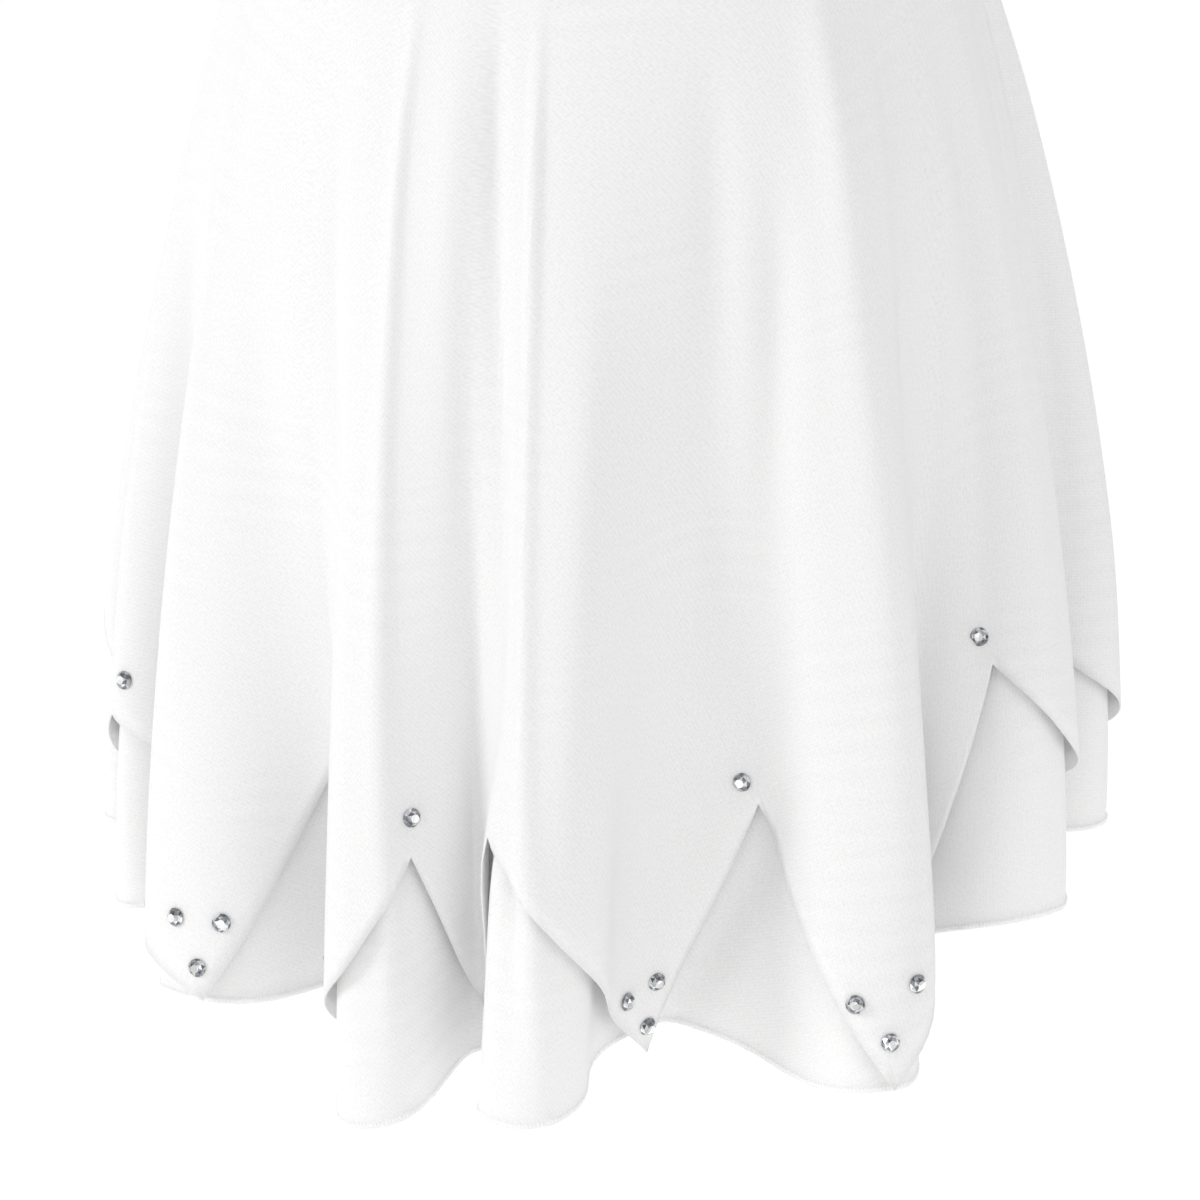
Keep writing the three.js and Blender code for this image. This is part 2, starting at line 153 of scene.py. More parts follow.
def makeStudio():
    scene = bpy.context.scene
    scene.view_settings.view_transform = "Standard"
    world = bpy.data.worlds.new("studio")
    scene.world = world
    world.use_nodes = True
    tree = world.node_tree
    tree.nodes.clear()
    direction = addNode(tree, "ShaderNodeTexCoord")
    height = addNode(tree, "ShaderNodeSeparateXYZ", None, None, {"Vector": direction.outputs["Generated"]})
    level = addNode(
        tree, "ShaderNodeMapRange", {"interpolation_type": "SMOOTHSTEP"},
        {
            "From Min": studio["wallTop"] / 2,
            "From Max": studio["wallTop"],
            "To Min": studio["wall"],
            "To Max": studio["ceiling"],
        },
        {"Value": height.outputs["Z"]},
    )
    backdrop = addNode(
        tree, "ShaderNodeBackground", None, {"Color": linearColour("#ffffff")},
        {"Strength": level.outputs["Result"]},
    )
    addNode(tree, "ShaderNodeOutputWorld", None, None, {"Surface": backdrop.outputs["Background"]})
    makeLamp("key", studio["keyAt"], studio["keySize"], studio["keyWatts"])
    makeLamp("fill", studio["fillAt"], studio["fillSize"], studio["fillWatts"])

    paint = bpy.data.materials.new("pale studio floor paint")
    paint.use_nodes = True
    shader = paint.node_tree.nodes["Principled BSDF"]
    shader.inputs["Base Color"].default_value = linearColour("#fbfbfa")
    shader.inputs["Roughness"].default_value = 0.9
    shader.inputs["Emission Color"].default_value = linearColour("#ffffff")
    shader.inputs["Emission Strength"].default_value = studio["floorGlow"]
    half = studio["floorHalf"]
    z = studio["floorAt"]
    corners = [(-half, -half, z), (half, -half, z), (half, half, z), (-half, half, z)]
    makeMesh("studio_floor", corners, [(0, 1, 2, 3)], paint, smooth=False)


makeCamera()
makeStudio()
print("camera, light and floor are set")


# Level sections of a general adult figure, size S, as the outside of the bodice lies on it
torso = tableColumns(
    ("z", "halfWidth", "halfDepth", "back"),
    [
        (-110, 158, 84, 3),
        (-190, 143, 100, -3),
        (-265, 143, 112, -8),
        (-325, 127, 95, -3),
        (-385, 118, 88, 0),
        (-443, 131, 94, 2),
        (-520, 150, 104, 5),
        (-600, 155, 110, 7),
        (-660, 148, 106, 7),
    ],
)
figure = {
    "shoulderBend": -110,
    "seatBend": -620,
    "crotch": -722,
    "shoulderSlope": 0.22,
    "neckHalfWidth": 72,
    "seamSide": -383,            # the basque seam at the sides
    "seamDip": 56,               # and how much lower it is at centre front and back
    "seamGap": 0.3,
    "cadWall": 1.2,
}


# Smooth curve through a table's rows, which run downwards
def readTable(z, column):
    levels = torso["z"]
    values = torso[column]
    last = len(levels) - 1
    i = np.clip(np.searchsorted(-levels, -z, side="left") - 1, 0, last - 1)

    def slopeAt(k):
        above = np.maximum(k - 1, 0)
        below = np.minimum(k + 1, last)
        return (values[below] - values[above]) / (levels[below] - levels[above])

    span = levels[i + 1] - levels[i]
    s = np.clip((z - levels[i]) / span, 0, 1)
    return (
        (2 * s**3 - 3 * s**2 + 1) * values[i]
        + (s**3 - 2 * s**2 + s) * span * slopeAt(i)
        + (3 * s**2 - 2 * s**3) * values[i + 1]
        + (s**3 - s**2) * span * slopeAt(i + 1)
    )


def torsoSection(z, inset):
    z = np.asarray(z, float)
    level = np.clip(z, figure["seatBend"], figure["shoulderBend"])
    rise = (z - figure["shoulderBend"]) / (-inset - figure["shoulderBend"])
    fall = (figure["seatBend"] - z) / (figure["seatBend"] - figure["crotch"] - inset)
    closing = np.sqrt(np.clip(1 - np.maximum(np.maximum(rise, fall), 0) ** 2, 0, 1))
    narrowing = np.sqrt(np.clip(1 - np.maximum(fall, 0) ** 2, 0, 1))
    halfWidth = (readTable(level, "halfWidth") - inset) * narrowing
    halfDepth = (readTable(level, "halfDepth") - inset) * closing
    return halfWidth, halfDepth, readTable(level, "back")


def seamLevel(angle):
    return figure["seamSide"] - figure["seamDip"] * np.cos(np.radians(angle)) ** 2


# The skirt's form, shared by both layers
skirt = {
    "hemHalfWidth": 194,
    "hemHalfDepth": 168,
    "hemSide": -757,
    "hemDip": 76,
    "flare": 1.68,
    "foldStart": 0.7,
    "foldTurn": 0.6,
    "foldGrowth": 1.5,
    "hipEase": 4,                # the valleys of the folds lie this far off the hips
    "easeRise": 8,               # and reach it this quickly below the seam
    "layerGap": 3.0,
    "shell": 0.5,                # the cloth as it is drawn
    "seamLength": 690,           # of the flat cut, a part of a ring
    "flatDrop": 385,
    "columns": 640,
    "rows": 56,
    "bendWeight": 11,            # mm of hem that one radian of bend counts for, when columns are spread
    "evenAbove": 100,            # mm above the hem; the upper layer's rows follow the zigzag below this
}

# In order round the hem. top: angle at the seam. tip, reach: angle at the hem and share of the
# envelope. valley, share: the same for the valley that follows. right, left: how round the sides are.
# low: how much lower the tip hangs. lift: how much higher the valley hangs. swell: how much the tip
# stands out halfway down.
folds = tableColumns(
    ("top", "tip", "reach", "valley", "share", "right", "left", "low", "lift", "swell"),
    [
        (-96, -73, 1.01, -66.5, 0.80, 0.7, 0.7, 4, 0, 0),
        (-77, -60, 1.03, -52.5, 0.78, 0.7, 0.7, 16, 0, 0),
        (-58, -46, 1.05, -27, 0.74, 0.6, 0.4, 12, 24, 0),
        (-23, -20, 1.04, -10, 0.76, 0.7, 0.9, 8, 11, 0),
        (2, -2, 1.02, 17, 0.66, 0.5, -0.2, 0, 14, 0),
        (43, 38.5, 1.03, 48, 0.74, -0.2, 0.7, 17, 0, 0),
        (70, 63.5, 1.03, 73, 0.80, 0.8, 0.7, 10, 0, 0.01),
        (90, 83, 1.01, 95, 0.78, 0.7, 0.7, 0, 0, 0.02),
        (109, 105, 1.00, 117, 0.78, 0.7, 0.5, 2, 4, 0),
        (129, 129, 1.02, 142, 0.76, 0.8, 0.6, 6, 10, 0),
        (152, 153, 1.01, 164, 0.74, 0.7, 0.8, 3, 14, 0),
        (174, 174, 1.03, 188, 0.78, 0.7, 0.4, 1, 18, 0),
        (198, 203, 1.02, 213, 0.74, 0.6, 0.8, 5, 12, 0),
        (217, 223, 1.00, 233, 0.77, 0.7, 0.7, 4, 8, 0),
        (235, 243, 1.02, 254, 0.78, 0.8, 0.6, 3, 4, 0),
        (250, 264, 1.00, 276, 0.79, 0.7, 0.7, 0, 0, 0),
    ],
)
foldCount = len(folds["tip"])
skirtDrop = figure["seamSide"] - skirt["hemSide"]


# Keeps a half size of the skirt clear of the hips inside it
def overHips(size, hips, down):
    ease = skirt["hipEase"] * (1 - (1 - np.clip(down, 0, 1)) ** skirt["easeRise"])
    spare = size - hips - ease
    return hips + ease + (spare + np.hypot(spare, ease)) / 2


# Middle surface. place counts folds round the hem: whole numbers are tips and halves are valleys.
# down is 0 at the seam and 1 at the hem.
def skirtPoint(place, down):
    place, down = np.broadcast_arrays(np.asarray(place, float), np.asarray(down, float))
    here = np.floor(place).astype(int) % foldCount
    after = (here + 1) % foldCount
    wrap = np.where(here + 1 == foldCount, 360, 0)
    half = (place - np.floor(place)) * 2
    leaving = half < 1
    fromTip = np.where(leaving, half, 2 - half)
    tip = np.where(leaving, folds["tip"][here], folds["tip"][after] + wrap)
    reach = np.where(leaving, folds["reach"][here], folds["reach"][after])
    low = np.where(leaving, folds["low"][here], folds["low"][after])
    roundness = np.where(leaving, folds["left"][here], folds["right"][after])
    top = np.where(leaving, folds["top"][here], folds["top"][after] + wrap)
    topMiddle = (folds["top"][here] + folds["top"][after] + wrap) / 2

    grown = np.clip(down, 0, 1) ** skirt["foldGrowth"]
    turn = fromTip + grown * (
        roundness * np.sin(np.pi * fromTip) / np.pi
        + skirt["foldTurn"] * np.sin(2 * np.pi * fromTip) / (2 * np.pi)
    )
    hemAngle = mix(tip, folds["valley"][here], turn)
    tipness = 0.5 + 0.5 * np.cos(np.pi * fromTip)
    angle = mix(mix(top, topMiddle, fromTip), hemAngle, down)
    depth = skirt["foldStart"] * down + (1 - skirt["foldStart"]) * down**2
    swell = np.where(leaving, folds["swell"][here], folds["swell"][after])
    share = 1 + (mix(folds["share"][here], reach, tipness) - 1) * depth
    share = share + swell * tipness * 4 * down * (1 - down)
    spring = 1 - (1 - np.clip(down, 0, 1)) ** skirt["flare"]
    front = np.cos(np.radians(mix(folds["valley"][here], tip, tipness))) ** 2
    hemLevel = (
        skirt["hemSide"]
        - skirt["hemDip"] * front**2 * (3 - 2 * front)
        - low * tipness
        + folds["lift"][here] * (1 - tipness)
    )
    z = mix(seamLevel(angle), hemLevel, down)
    seamWidth, seamDepth, seamBack = torsoSection(seamLevel(angle), 0)
    hipWidth, hipDepth, _ = torsoSection(z, 0)
    halfWidth = overHips(mix(seamWidth, skirt["hemHalfWidth"], spring) * share, hipWidth, down)
    halfDepth = overHips(mix(seamDepth, skirt["hemHalfDepth"], spring) * share, hipDepth, down)
    return np.stack(
        [
            halfWidth * np.sin(np.radians(angle)),
            mix(seamBack, 0, down) - halfDepth * np.cos(np.radians(angle)),
            z - figure["seamGap"],
        ],
        axis=-1,
    )


def unit(vectors):
    return vectors / np.linalg.norm(vectors, axis=-1, keepdims=True)


def skirtNormal(place, down):
    place, down = np.broadcast_arrays(np.asarray(place, float), np.asarray(down, float))
    roundWay = skirtPoint(place + 0.01, down) - skirtPoint(place - 0.01, down)
    fallWay = skirtPoint(place, down + 0.004) - skirtPoint(place, np.maximum(0, down - 0.004))
    return unit(np.cross(fallWay, roundWay))


# Hem length measured place by place, and the turning along it
measuresPerFold = 120
hemPlaces = np.linspace(0, foldCount, foldCount * measuresPerFold + 1)
hemPoints = skirtPoint(hemPlaces, 1)
hemLength = np.concatenate([[0], np.cumsum(np.linalg.norm(np.diff(hemPoints, axis=0), axis=1))])
wholeHem = hemLength[-1]
hemNormals = skirtNormal(hemPlaces, 1)
hemTurning = np.arccos(np.clip((hemNormals[1:] * hemNormals[:-1]).sum(1), -1, 1))
hemWeight = hemLength + np.concatenate([[0], np.cumsum(hemTurning)]) * skirt["bendWeight"]


def lengthAt(place):
    turns = np.floor(np.asarray(place) / foldCount)
    return np.interp(place - turns * foldCount, hemPlaces, hemLength) + turns * wholeHem


def placeAt(length):
    turns = np.floor(np.asarray(length) / wholeHem)
    return np.interp(length - turns * wholeHem, hemLength, hemPlaces) + turns * foldCount


# The zigzag edge. notch, point: places counted in folds. notchUp, pointUp: height above the hem.
# proud: how far the point stands off the under layer.
frontTeeth = [
    {"notch": 1.02, "notchUp": 68, "point": 2.10, "pointUp": 2, "proud": 2},
    {"notch": 2.48, "notchUp": 82, "point": 2.74, "pointUp": 8, "proud": 1},
    {"notch": 3.19, "notchUp": 86, "point": 3.62, "pointUp": 8, "proud": 0.5},
    {"notch": 3.84, "notchUp": 94, "point": 4.44, "pointUp": -4, "proud": 4},
    {"notch": 4.66, "notchUp": 89, "point": 4.975, "pointUp": 2, "proud": 2},
    {"notch": 5.42, "notchUp": 90, "point": 5.66, "pointUp": 6, "proud": 4},
    {"notch": 5.80, "notchUp": 94, "point": 6.50, "pointUp": 12, "proud": 4},
    {"notch": 6.72, "notchUp": 68, "point": 7.60, "pointUp": 5, "proud": 3},
]
backTeeth = {"count": 10, "notchUp": 90, "pointUp": 5, "proud": 1.5, "uneven": 6}


def zigzagCorners():
    corners = []
    for tooth in frontTeeth:
        corners.append((float(lengthAt(tooth["notch"])), tooth["notchUp"], 0))
        corners.append((float(lengthAt(tooth["point"])), tooth["pointUp"], tooth["proud"]))
    start = corners[-1][0]
    halfTooth = (corners[0][0] + wholeHem - start) / (2 * backTeeth["count"] + 1)
    for k in range(1, 2 * backTeeth["count"] + 1):
        uneven = backTeeth["uneven"] * math.sin(2.3 * k)
        notch = k % 2 == 1
        up = backTeeth["notchUp"] + uneven if notch else backTeeth["pointUp"]
        corners.append((start + k * halfTooth + uneven, up, 0 if notch else backTeeth["proud"]))
    return corners


corners = zigzagCorners()
cornerTable = tableColumns(("at", "up", "proud"), corners + [(corners[0][0] + wholeHem, *corners[0][1:])])


# Columns round the skirt: closer where the hem bends, and one on every corner of the zigzag
def skirtColumns():
    total = hemWeight[-1]
    lengths = []
    for start, end in zip(cornerTable["at"][:-1], cornerTable["at"][1:]):
        weights = [
            np.interp(at % wholeHem, hemLength, hemWeight) + math.floor(at / wholeHem) * total
            for at in (start, end)
        ]
        count = max(3, round((weights[1] - weights[0]) / total * skirt["columns"]))
        for k in range(count):
            weight = mix(weights[0], weights[1], k / count)
            turns = math.floor(weight / total)
            lengths.append(np.interp(weight - turns * total, hemWeight, hemLength) + turns * wholeHem)
    return np.array(lengths)


columnAt = skirtColumns()
columnPlace = placeAt(columnAt)
columnUp = np.interp(columnAt, cornerTable["at"], cornerTable["up"])
columnProud = np.interp(columnAt, cornerTable["at"], cornerTable["proud"])


# Soft creases on top of the folds. place: where the crease starts, in folds. drift: how far
# it wanders by the hem. top, bottom: where it fades in and out. width: in folds. depth: mm outwards.
creases = tableColumns(
    ("place", "drift", "top", "bottom", "width", "depth"),
    [
        (0.30, 0.20, 0.10, 0.75, 0.10, 1.6),
        (0.95, 0.10, 0.00, 0.80, 0.06, 1.5),
        (1.55, 0.10, 0.30, 0.95, 0.09, -1.4),
        (1.96, 0.10, 0.08, 0.85, 0.05, 1.9),
        (2.45, 0.00, 0.20, 1.10, 0.14, 2.6),
        (2.66, 0.12, 0.10, 0.95, 0.06, -1.9),
        (3.00, 0.14, 0.00, 1.00, 0.045, 2.5),
        (3.33, 0.05, 0.00, 0.95, 0.15, 3.6),
        (3.52, 0.37, 0.00, 0.75, 0.06, -2.6),
        (3.76, 0.30, 0.00, 1.00, 0.038, 2.9),
        (3.82, 0.02, 0.62, 1.30, 0.07, 5.2),
        (4.08, 0.02, 0.20, 0.85, 0.06, 1.2),
        (4.17, 0.04, 0.62, 1.20, 0.06, 1.2),
        (4.26, 0.05, 0.66, 1.20, 0.08, -2.3),
        (4.46, 0.06, 0.05, 0.70, 0.07, -1.8),
        (4.68, 0.00, 0.15, 0.95, 0.07, -3.0),
        (5.38, -0.88, 0.68, 1.25, 0.045, -4.4),
        (4.87, 0.20, 0.00, 1.05, 0.08, 3.3),
        (5.22, 0.05, 0.00, 0.85, 0.08, -2.6),
        (5.55, 0.10, 0.10, 0.70, 0.08, 1.6),
        (5.74, 0.04, 0.15, 0.95, 0.05, -1.7),
        (5.90, 0.02, 0.10, 0.95, 0.05, 1.6),
        (6.30, 0.10, 0.20, 0.90, 0.08, -1.5),
        (6.74, 0.05, 0.05, 0.80, 0.06, -1.8),
        (6.95, 0.03, 0.10, 0.90, 0.06, 1.7),
        (7.30, -0.10, 0.10, 0.80, 0.08, -1.7),
        (7.92, 0.08, 0.05, 0.95, 0.05, 2.1),
        (8.40, 0.12, 0.05, 0.75, 0.08, -2.4),
        (8.72, -0.04, 0.30, 1.00, 0.06, 1.5),
        (9.02, 0.04, 0.00, 0.85, 0.05, 2.2),
        (9.33, -0.08, 0.20, 1.00, 0.07, -1.9),
        (10.05, 0.06, 0.10, 0.90, 0.05, 1.8),
        (10.42, 0.08, 0.00, 0.80, 0.08, -2.5),
        (10.66, 0.05, 0.40, 1.00, 0.06, 1.3),
        (10.94, 0.06, 0.05, 0.95, 0.05, 2.3),
        (11.26, 0.10, 0.30, 1.00, 0.07, -1.6),
        (11.55, -0.12, 0.05, 0.75, 0.07, -2.0),
        (12.02, 0.03, 0.10, 0.90, 0.05, 1.9),
        (12.40, 0.05, 0.10, 0.95, 0.08, -2.3),
        (12.97, 0.05, 0.00, 0.80, 0.05, 2.1),
        (13.35, 0.10, 0.15, 0.90, 0.08, -2.0),
        (14.05, -0.06, 0.05, 0.95, 0.05, 1.8),
        (14.44, -0.08, 0.20, 1.00, 0.08, -1.8),
        (15.00, 0.08, 0.05, 0.85, 0.06, 1.7),
        (15.42, 0.06, 0.10, 0.90, 0.08, -2.1),
    ],
)
creaseFade = 0.2


def creaseHeight(place, down):
    height = np.zeros(np.broadcast(place, down).shape)
    for k in range(len(creases["place"])):
        middle = creases["place"][k] + creases["drift"][k] * down
        away = (place - middle + foldCount / 2) % foldCount - foldCount / 2
        fadeIn = smoothStep(down, creases["top"][k], creases["top"][k] + creaseFade)
        fadeOut = 1 - smoothStep(down, creases["bottom"][k] - creaseFade, creases["bottom"][k])
        ridge = np.exp(-((away / creases["width"][k]) ** 2))
        height += creases["depth"][k] * ridge * fadeIn * fadeOut
    return height


# Where a point of the skirt lay on the flat cut, in metres: the knit follows this
def flatCut(length, down):
    sector = (wholeHem - skirt["seamLength"]) / skirt["flatDrop"]
    radius = skirt["seamLength"] / sector + down * skirt["flatDrop"]
    angle = (length / wholeHem) * sector
    return np.stack([radius * np.sin(angle), radius * np.cos(angle)], axis=-1) * mm


# The same for a whole layer, with the first column again at the far end of the cut
def columnCut(down):
    lengths = np.append(columnAt, columnAt[0] + wholeHem)
    return flatCut(lengths, np.concatenate([down, down[:, :1]], axis=1))


# Closed cloth wall from a grid of middle points (rows, columns, 3) that goes all round.
# thick is half the cloth's thickness for each row.
def clothWall(name, middle, thick, cutPlaces, material):
    roundWay = np.roll(middle, -1, axis=1) - np.roll(middle, 1, axis=1)
    fallWay = np.gradient(middle, axis=0)
    normal = unit(np.cross(fallWay, roundWay))
    rows, columns = middle.shape[:2]
    outside = middle + normal * thick[:, None, None]
    inside = middle - normal * thick[:, None, None]
    grid = np.concatenate([outside, inside[::-1]])
    ring = len(grid)
    upper = np.arange(ring)[:, None]
    left = np.arange(columns)[None, :]
    below = (upper + 1) % ring
    right = (left + 1) % columns
    quads = np.stack(
        [
            upper * columns + left,
            below * columns + left,
            below * columns + right,
            upper * columns + right,
        ],
        axis=-1,
    ).reshape(-1, 4)

    # cutPlaces has one more column than the wall, so that the pattern doesn't run back at the join
    cut = np.concatenate([cutPlaces, cutPlaces[::-1]])
    uvs = np.stack(
        [
            cut[upper, left],
            cut[below, left],
            cut[below, left + 1],
            cut[upper, left + 1],
        ],
        axis=2,
    ).reshape(-1, 2)
    return makeMesh(name, grid.reshape(-1, 3), quads.tolist(), material, uvs)


# Stretch mesh knit: white polyamide and elastane, warp knitted, matt and a little see-through, so that
# light comes through the folds. Its wales are 0.55 mm apart, too fine for the render, so the loops are
# drawn at 1.1 mm. Where both skirt layers lie close their loops beat together in faint level bars,
# about 8.5 mm apart, in patches.
knit = {
    "wale": 1.1,
    "course": 1.25,
    "waveTurn": 20,              # radians that the wave texture turns in a metre at scale 1
    "bump": 0.05,
    "ground": 0.82,              # share of the light tone in the plain cloth; the next two are added
    "loopTone": 0.07,
    "grainTone": 0.22,
    "grain": 950.0,
    "bar": 8.5,
    "patch": 14.0,               # scale of the patches, and radians that the bars wander with them
    "patchFrom": 0.5,
    "patchTo": 0.62,
    "through": 0.2,              # share of the light that goes through
    "light": "#fcfcfc",
    "deep": "#8f8f8f",
}


def knitMaterial(name, bars):
    material = bpy.data.materials.new(name)
    material.use_nodes = True
    tree = material.node_tree
    tree.nodes.clear()
    cut = addNode(tree, "ShaderNodeUVMap", {"uv_map": "cut"}).outputs["UV"]
    loops = [
        addNode(
            tree, "ShaderNodeTexWave",
            {"wave_type": "BANDS", "bands_direction": way, "wave_profile": "SIN"},
            {
                "Scale": 2 * math.pi / (knit["waveTurn"] * pitch * mm),
                "Distortion": 1.2,
                "Detail": 1.0,
                "Detail Scale": 0.6,
            },
            {"Vector": cut},
        ).outputs["Fac"]
        for way, pitch in (("X", knit["wale"]), ("Y", knit["course"]))
    ]
    loop = mathNode(tree, "MULTIPLY", *loops)
    grain, patches = (
        addNode(
            tree, "ShaderNodeTexNoise", None, {"Scale": scale, "Detail": 1.0}, {"Vector": cut}
        ).outputs["Fac"]
        for scale in (knit["grain"], knit["patch"])
    )
    radius = addNode(tree, "ShaderNodeVectorMath", {"operation": "LENGTH"}, None, {0: cut}).outputs["Value"]
    phase = mathNode(tree, "MULTIPLY", radius, 2 * math.pi / (knit["bar"] * mm))
    bar = mathNode(tree, "SINE", mathNode(tree, "MULTIPLY_ADD", patches, knit["patch"], phase))
    where = addNode(
        tree, "ShaderNodeMapRange", {"interpolation_type": "SMOOTHSTEP"},
        {"From Min": knit["patchFrom"], "From Max": knit["patchTo"], "To Min": 0.0, "To Max": bars},
        {"Value": patches},
    )
    tone = mathNode(tree, "MULTIPLY_ADD", loop, knit["loopTone"], knit["ground"])
    tone = mathNode(tree, "MULTIPLY_ADD", grain, knit["grainTone"], tone)
    tone = mathNode(tree, "MULTIPLY_ADD", bar, where.outputs["Result"], tone)
    shade = addNode(tree, "ShaderNodeMix", {"data_type": "RGBA"}, None, {"Factor": tone})
    shade.inputs[6].default_value = linearColour(knit["deep"])
    shade.inputs[7].default_value = linearColour(knit["light"])
    bump = addNode(
        tree, "ShaderNodeBump", None, {"Strength": 0.5, "Distance": knit["bump"] * mm}, {"Height": loop}
    )
    face = addNode(
        tree, "ShaderNodeBsdfPrincipled", None,
        {"Roughness": 0.86, "Specular IOR Level": 0.25, "Sheen Weight": 0.25, "Sheen Roughness": 0.5},
        {"Base Color": shade.outputs[2], "Normal": bump.outputs["Normal"]},
    )
    through = addNode(
        tree, "ShaderNodeBsdfTranslucent", None, None,
        {"Color": shade.outputs[2], "Normal": bump.outputs["Normal"]},
    )
    cloth = addNode(
        tree, "ShaderNodeMixShader", None, {"Fac": knit["through"]},
        {1: face.outputs["BSDF"], 2: through.outputs["BSDF"]},
    )
    addNode(tree, "ShaderNodeOutputMaterial", None, None, {"Surface": cloth.outputs["Shader"]})
    return material


skirtKnit = knitMaterial("white stretch mesh knit", 0.011)


def makeOuterLayer():
    evenEnd = 1 - skirt["evenAbove"] / skirtDrop
    s = np.linspace(0, 1, skirt["rows"])[:, None]
    end = 1 - columnUp[None, :] / skirtDrop
    down = s * evenEnd + s**3 * (end - evenEnd)
    place = np.broadcast_to(columnPlace, down.shape)
    middle = skirtPoint(place, down)
    height = columnProud * down**4 + creaseHeight(place, down)
    middle = middle + skirtNormal(place, down) * height[..., None]
    thick = np.full(len(s), skirt["shell"] / 2)
    return clothWall("skirt_outer_layer", middle, thick, columnCut(down), skirtKnit)


# Rolled hem of the under layer: height above the edge and half thickness there
rolledHem = [(6.0, 0.25), (3.0, 0.25), (2.3, 0.5), (1.7, 0.85), (1.0, 1.0), (0.4, 0.85), (0.0, 0.4)]


def makeUnderLayer():
    rollTop = 1 - rolledHem[0][0] / skirtDrop
    plain = np.linspace(0, rollTop, skirt["rows"] - len(rolledHem), endpoint=False)
    rolled = np.array([1 - up / skirtDrop for up, half in rolledHem])
    down = np.concatenate([plain, rolled])[:, None]
    thick = np.concatenate([np.full(len(plain), skirt["shell"] / 2), [half for up, half in rolledHem]])
    place = np.broadcast_to(columnPlace, (len(down), len(columnPlace)))
    downs = np.broadcast_to(down, place.shape)
    gap = mix(figure["seamGap"], skirt["layerGap"], 1 - (1 - downs) ** 2)
    height = creaseHeight(place, downs) - figure["cadWall"] - gap
    middle = skirtPoint(place, downs) + skirtNormal(place, downs) * height[..., None]
    return clothWall("skirt_under_layer", middle, thick, columnCut(downs), skirtKnit)


outerLayer = makeOuterLayer()
underLayer = makeUnderLayer()
print("skirt layers:", len(outerLayer.data.polygons), len(underLayer.data.polygons), "faces")


# Base mesh for a node tree: points in millimetres, with the ways that are out of the cloth and along it
def guideMesh(name, points, outward, along, loop=False):
    mesh = bpy.data.meshes.new(name)
    count = len(points)
    edges = [(k, (k + 1) % count) for k in range(count)] if loop else []
    mesh.from_pydata((np.asarray(points) * mm).tolist(), edges, [])
    for key, values in (("outward", outward), ("along", along)):
        layer = mesh.attributes.new(key, "FLOAT_VECTOR", "POINT")
        layer.data.foreach_set("vector", np.asarray(values, np.float32).ravel())
    return addObject(name, mesh)


def newTree(name, inputs):
    tree = bpy.data.node_groups.new(name, "GeometryNodeTree")
    tree.interface.new_socket("Geometry", in_out="INPUT", socket_type="NodeSocketGeometry")
    for label, kind, value in inputs:
        socket = tree.interface.new_socket(label, in_out="INPUT", socket_type=kind)
        if value is not None:
            socket.default_value = value
    tree.interface.new_socket("Geometry", in_out="OUTPUT", socket_type="NodeSocketGeometry")
    return tree


def guideWay(tree, key):
    node = addNode(tree, "GeometryNodeInputNamedAttribute", {"data_type": "FLOAT_VECTOR"}, {"Name": key})
    return node.outputs["Attribute"]


# Puts a copy on every point, its z out of the cloth and its x along, turned by a little of its own
def setOutCopies(tree, given, points, along, turn):
    facing = addNode(
        tree, "FunctionNodeAxesToRotation", {"primary_axis": "Z", "secondary_axis": "X"}, None,
        {"Primary Axis": guideWay(tree, "outward"), "Secondary Axis": along},
    )
    turned = addNode(
        tree, "FunctionNodeRotateRotation", {"rotation_space": "LOCAL"}, None,
        {"Rotation": facing.outputs["Rotation"], "Rotate By": turn},
    )
    copy = addNode(
        tree, "GeometryNodeObjectInfo", {"transform_space": "ORIGINAL"}, None, {"Object": given["Copy"]}
    )
    placed = addNode(
        tree, "GeometryNodeInstanceOnPoints", None, None,
        {"Points": points, "Instance": copy.outputs["Geometry"], "Rotation": turned.outputs["Rotation"]},
    )
    real = addNode(
        tree, "GeometryNodeRealizeInstances", None, None, {"Geometry": placed.outputs["Instances"]}
    )
    painted = addNode(
        tree, "GeometryNodeSetMaterial", None, None,
        {"Geometry": real.outputs["Geometry"], "Material": given["Material"]},
    )
    addNode(tree, "NodeGroupOutput", None, None, {"Geometry": painted.outputs["Geometry"]})


def piecesOnPoints():
    tree = newTree(
        "pieces on points",
        [
            ("Copy", "NodeSocketObject", None),
            ("Material", "NodeSocketMaterial", None),
            ("Turn", "NodeSocketFloat", 3.14),
            ("Tilt", "NodeSocketFloat", 0.04),
            ("Seed", "NodeSocketInt", 3),
        ],
    )
    given = addNode(tree, "NodeGroupInput").outputs
    spin = addNode(
        tree, "ShaderNodeCombineXYZ", None, None,
        {"X": given["Tilt"], "Y": given["Tilt"], "Z": given["Turn"]},
    )
    unspin = addNode(
        tree, "ShaderNodeVectorMath", {"operation": "SCALE"}, {"Scale": -1.0}, {0: spin.outputs["Vector"]}
    )
    chance = addNode(
        tree, "FunctionNodeRandomValue", {"data_type": "FLOAT_VECTOR"}, None,
        {"Min": unspin.outputs["Vector"], "Max": spin.outputs["Vector"], "Seed": given["Seed"]},
    )
    setOutCopies(tree, given, given["Geometry"], guideWay(tree, "along"), chance.outputs["Value"])
    return tree


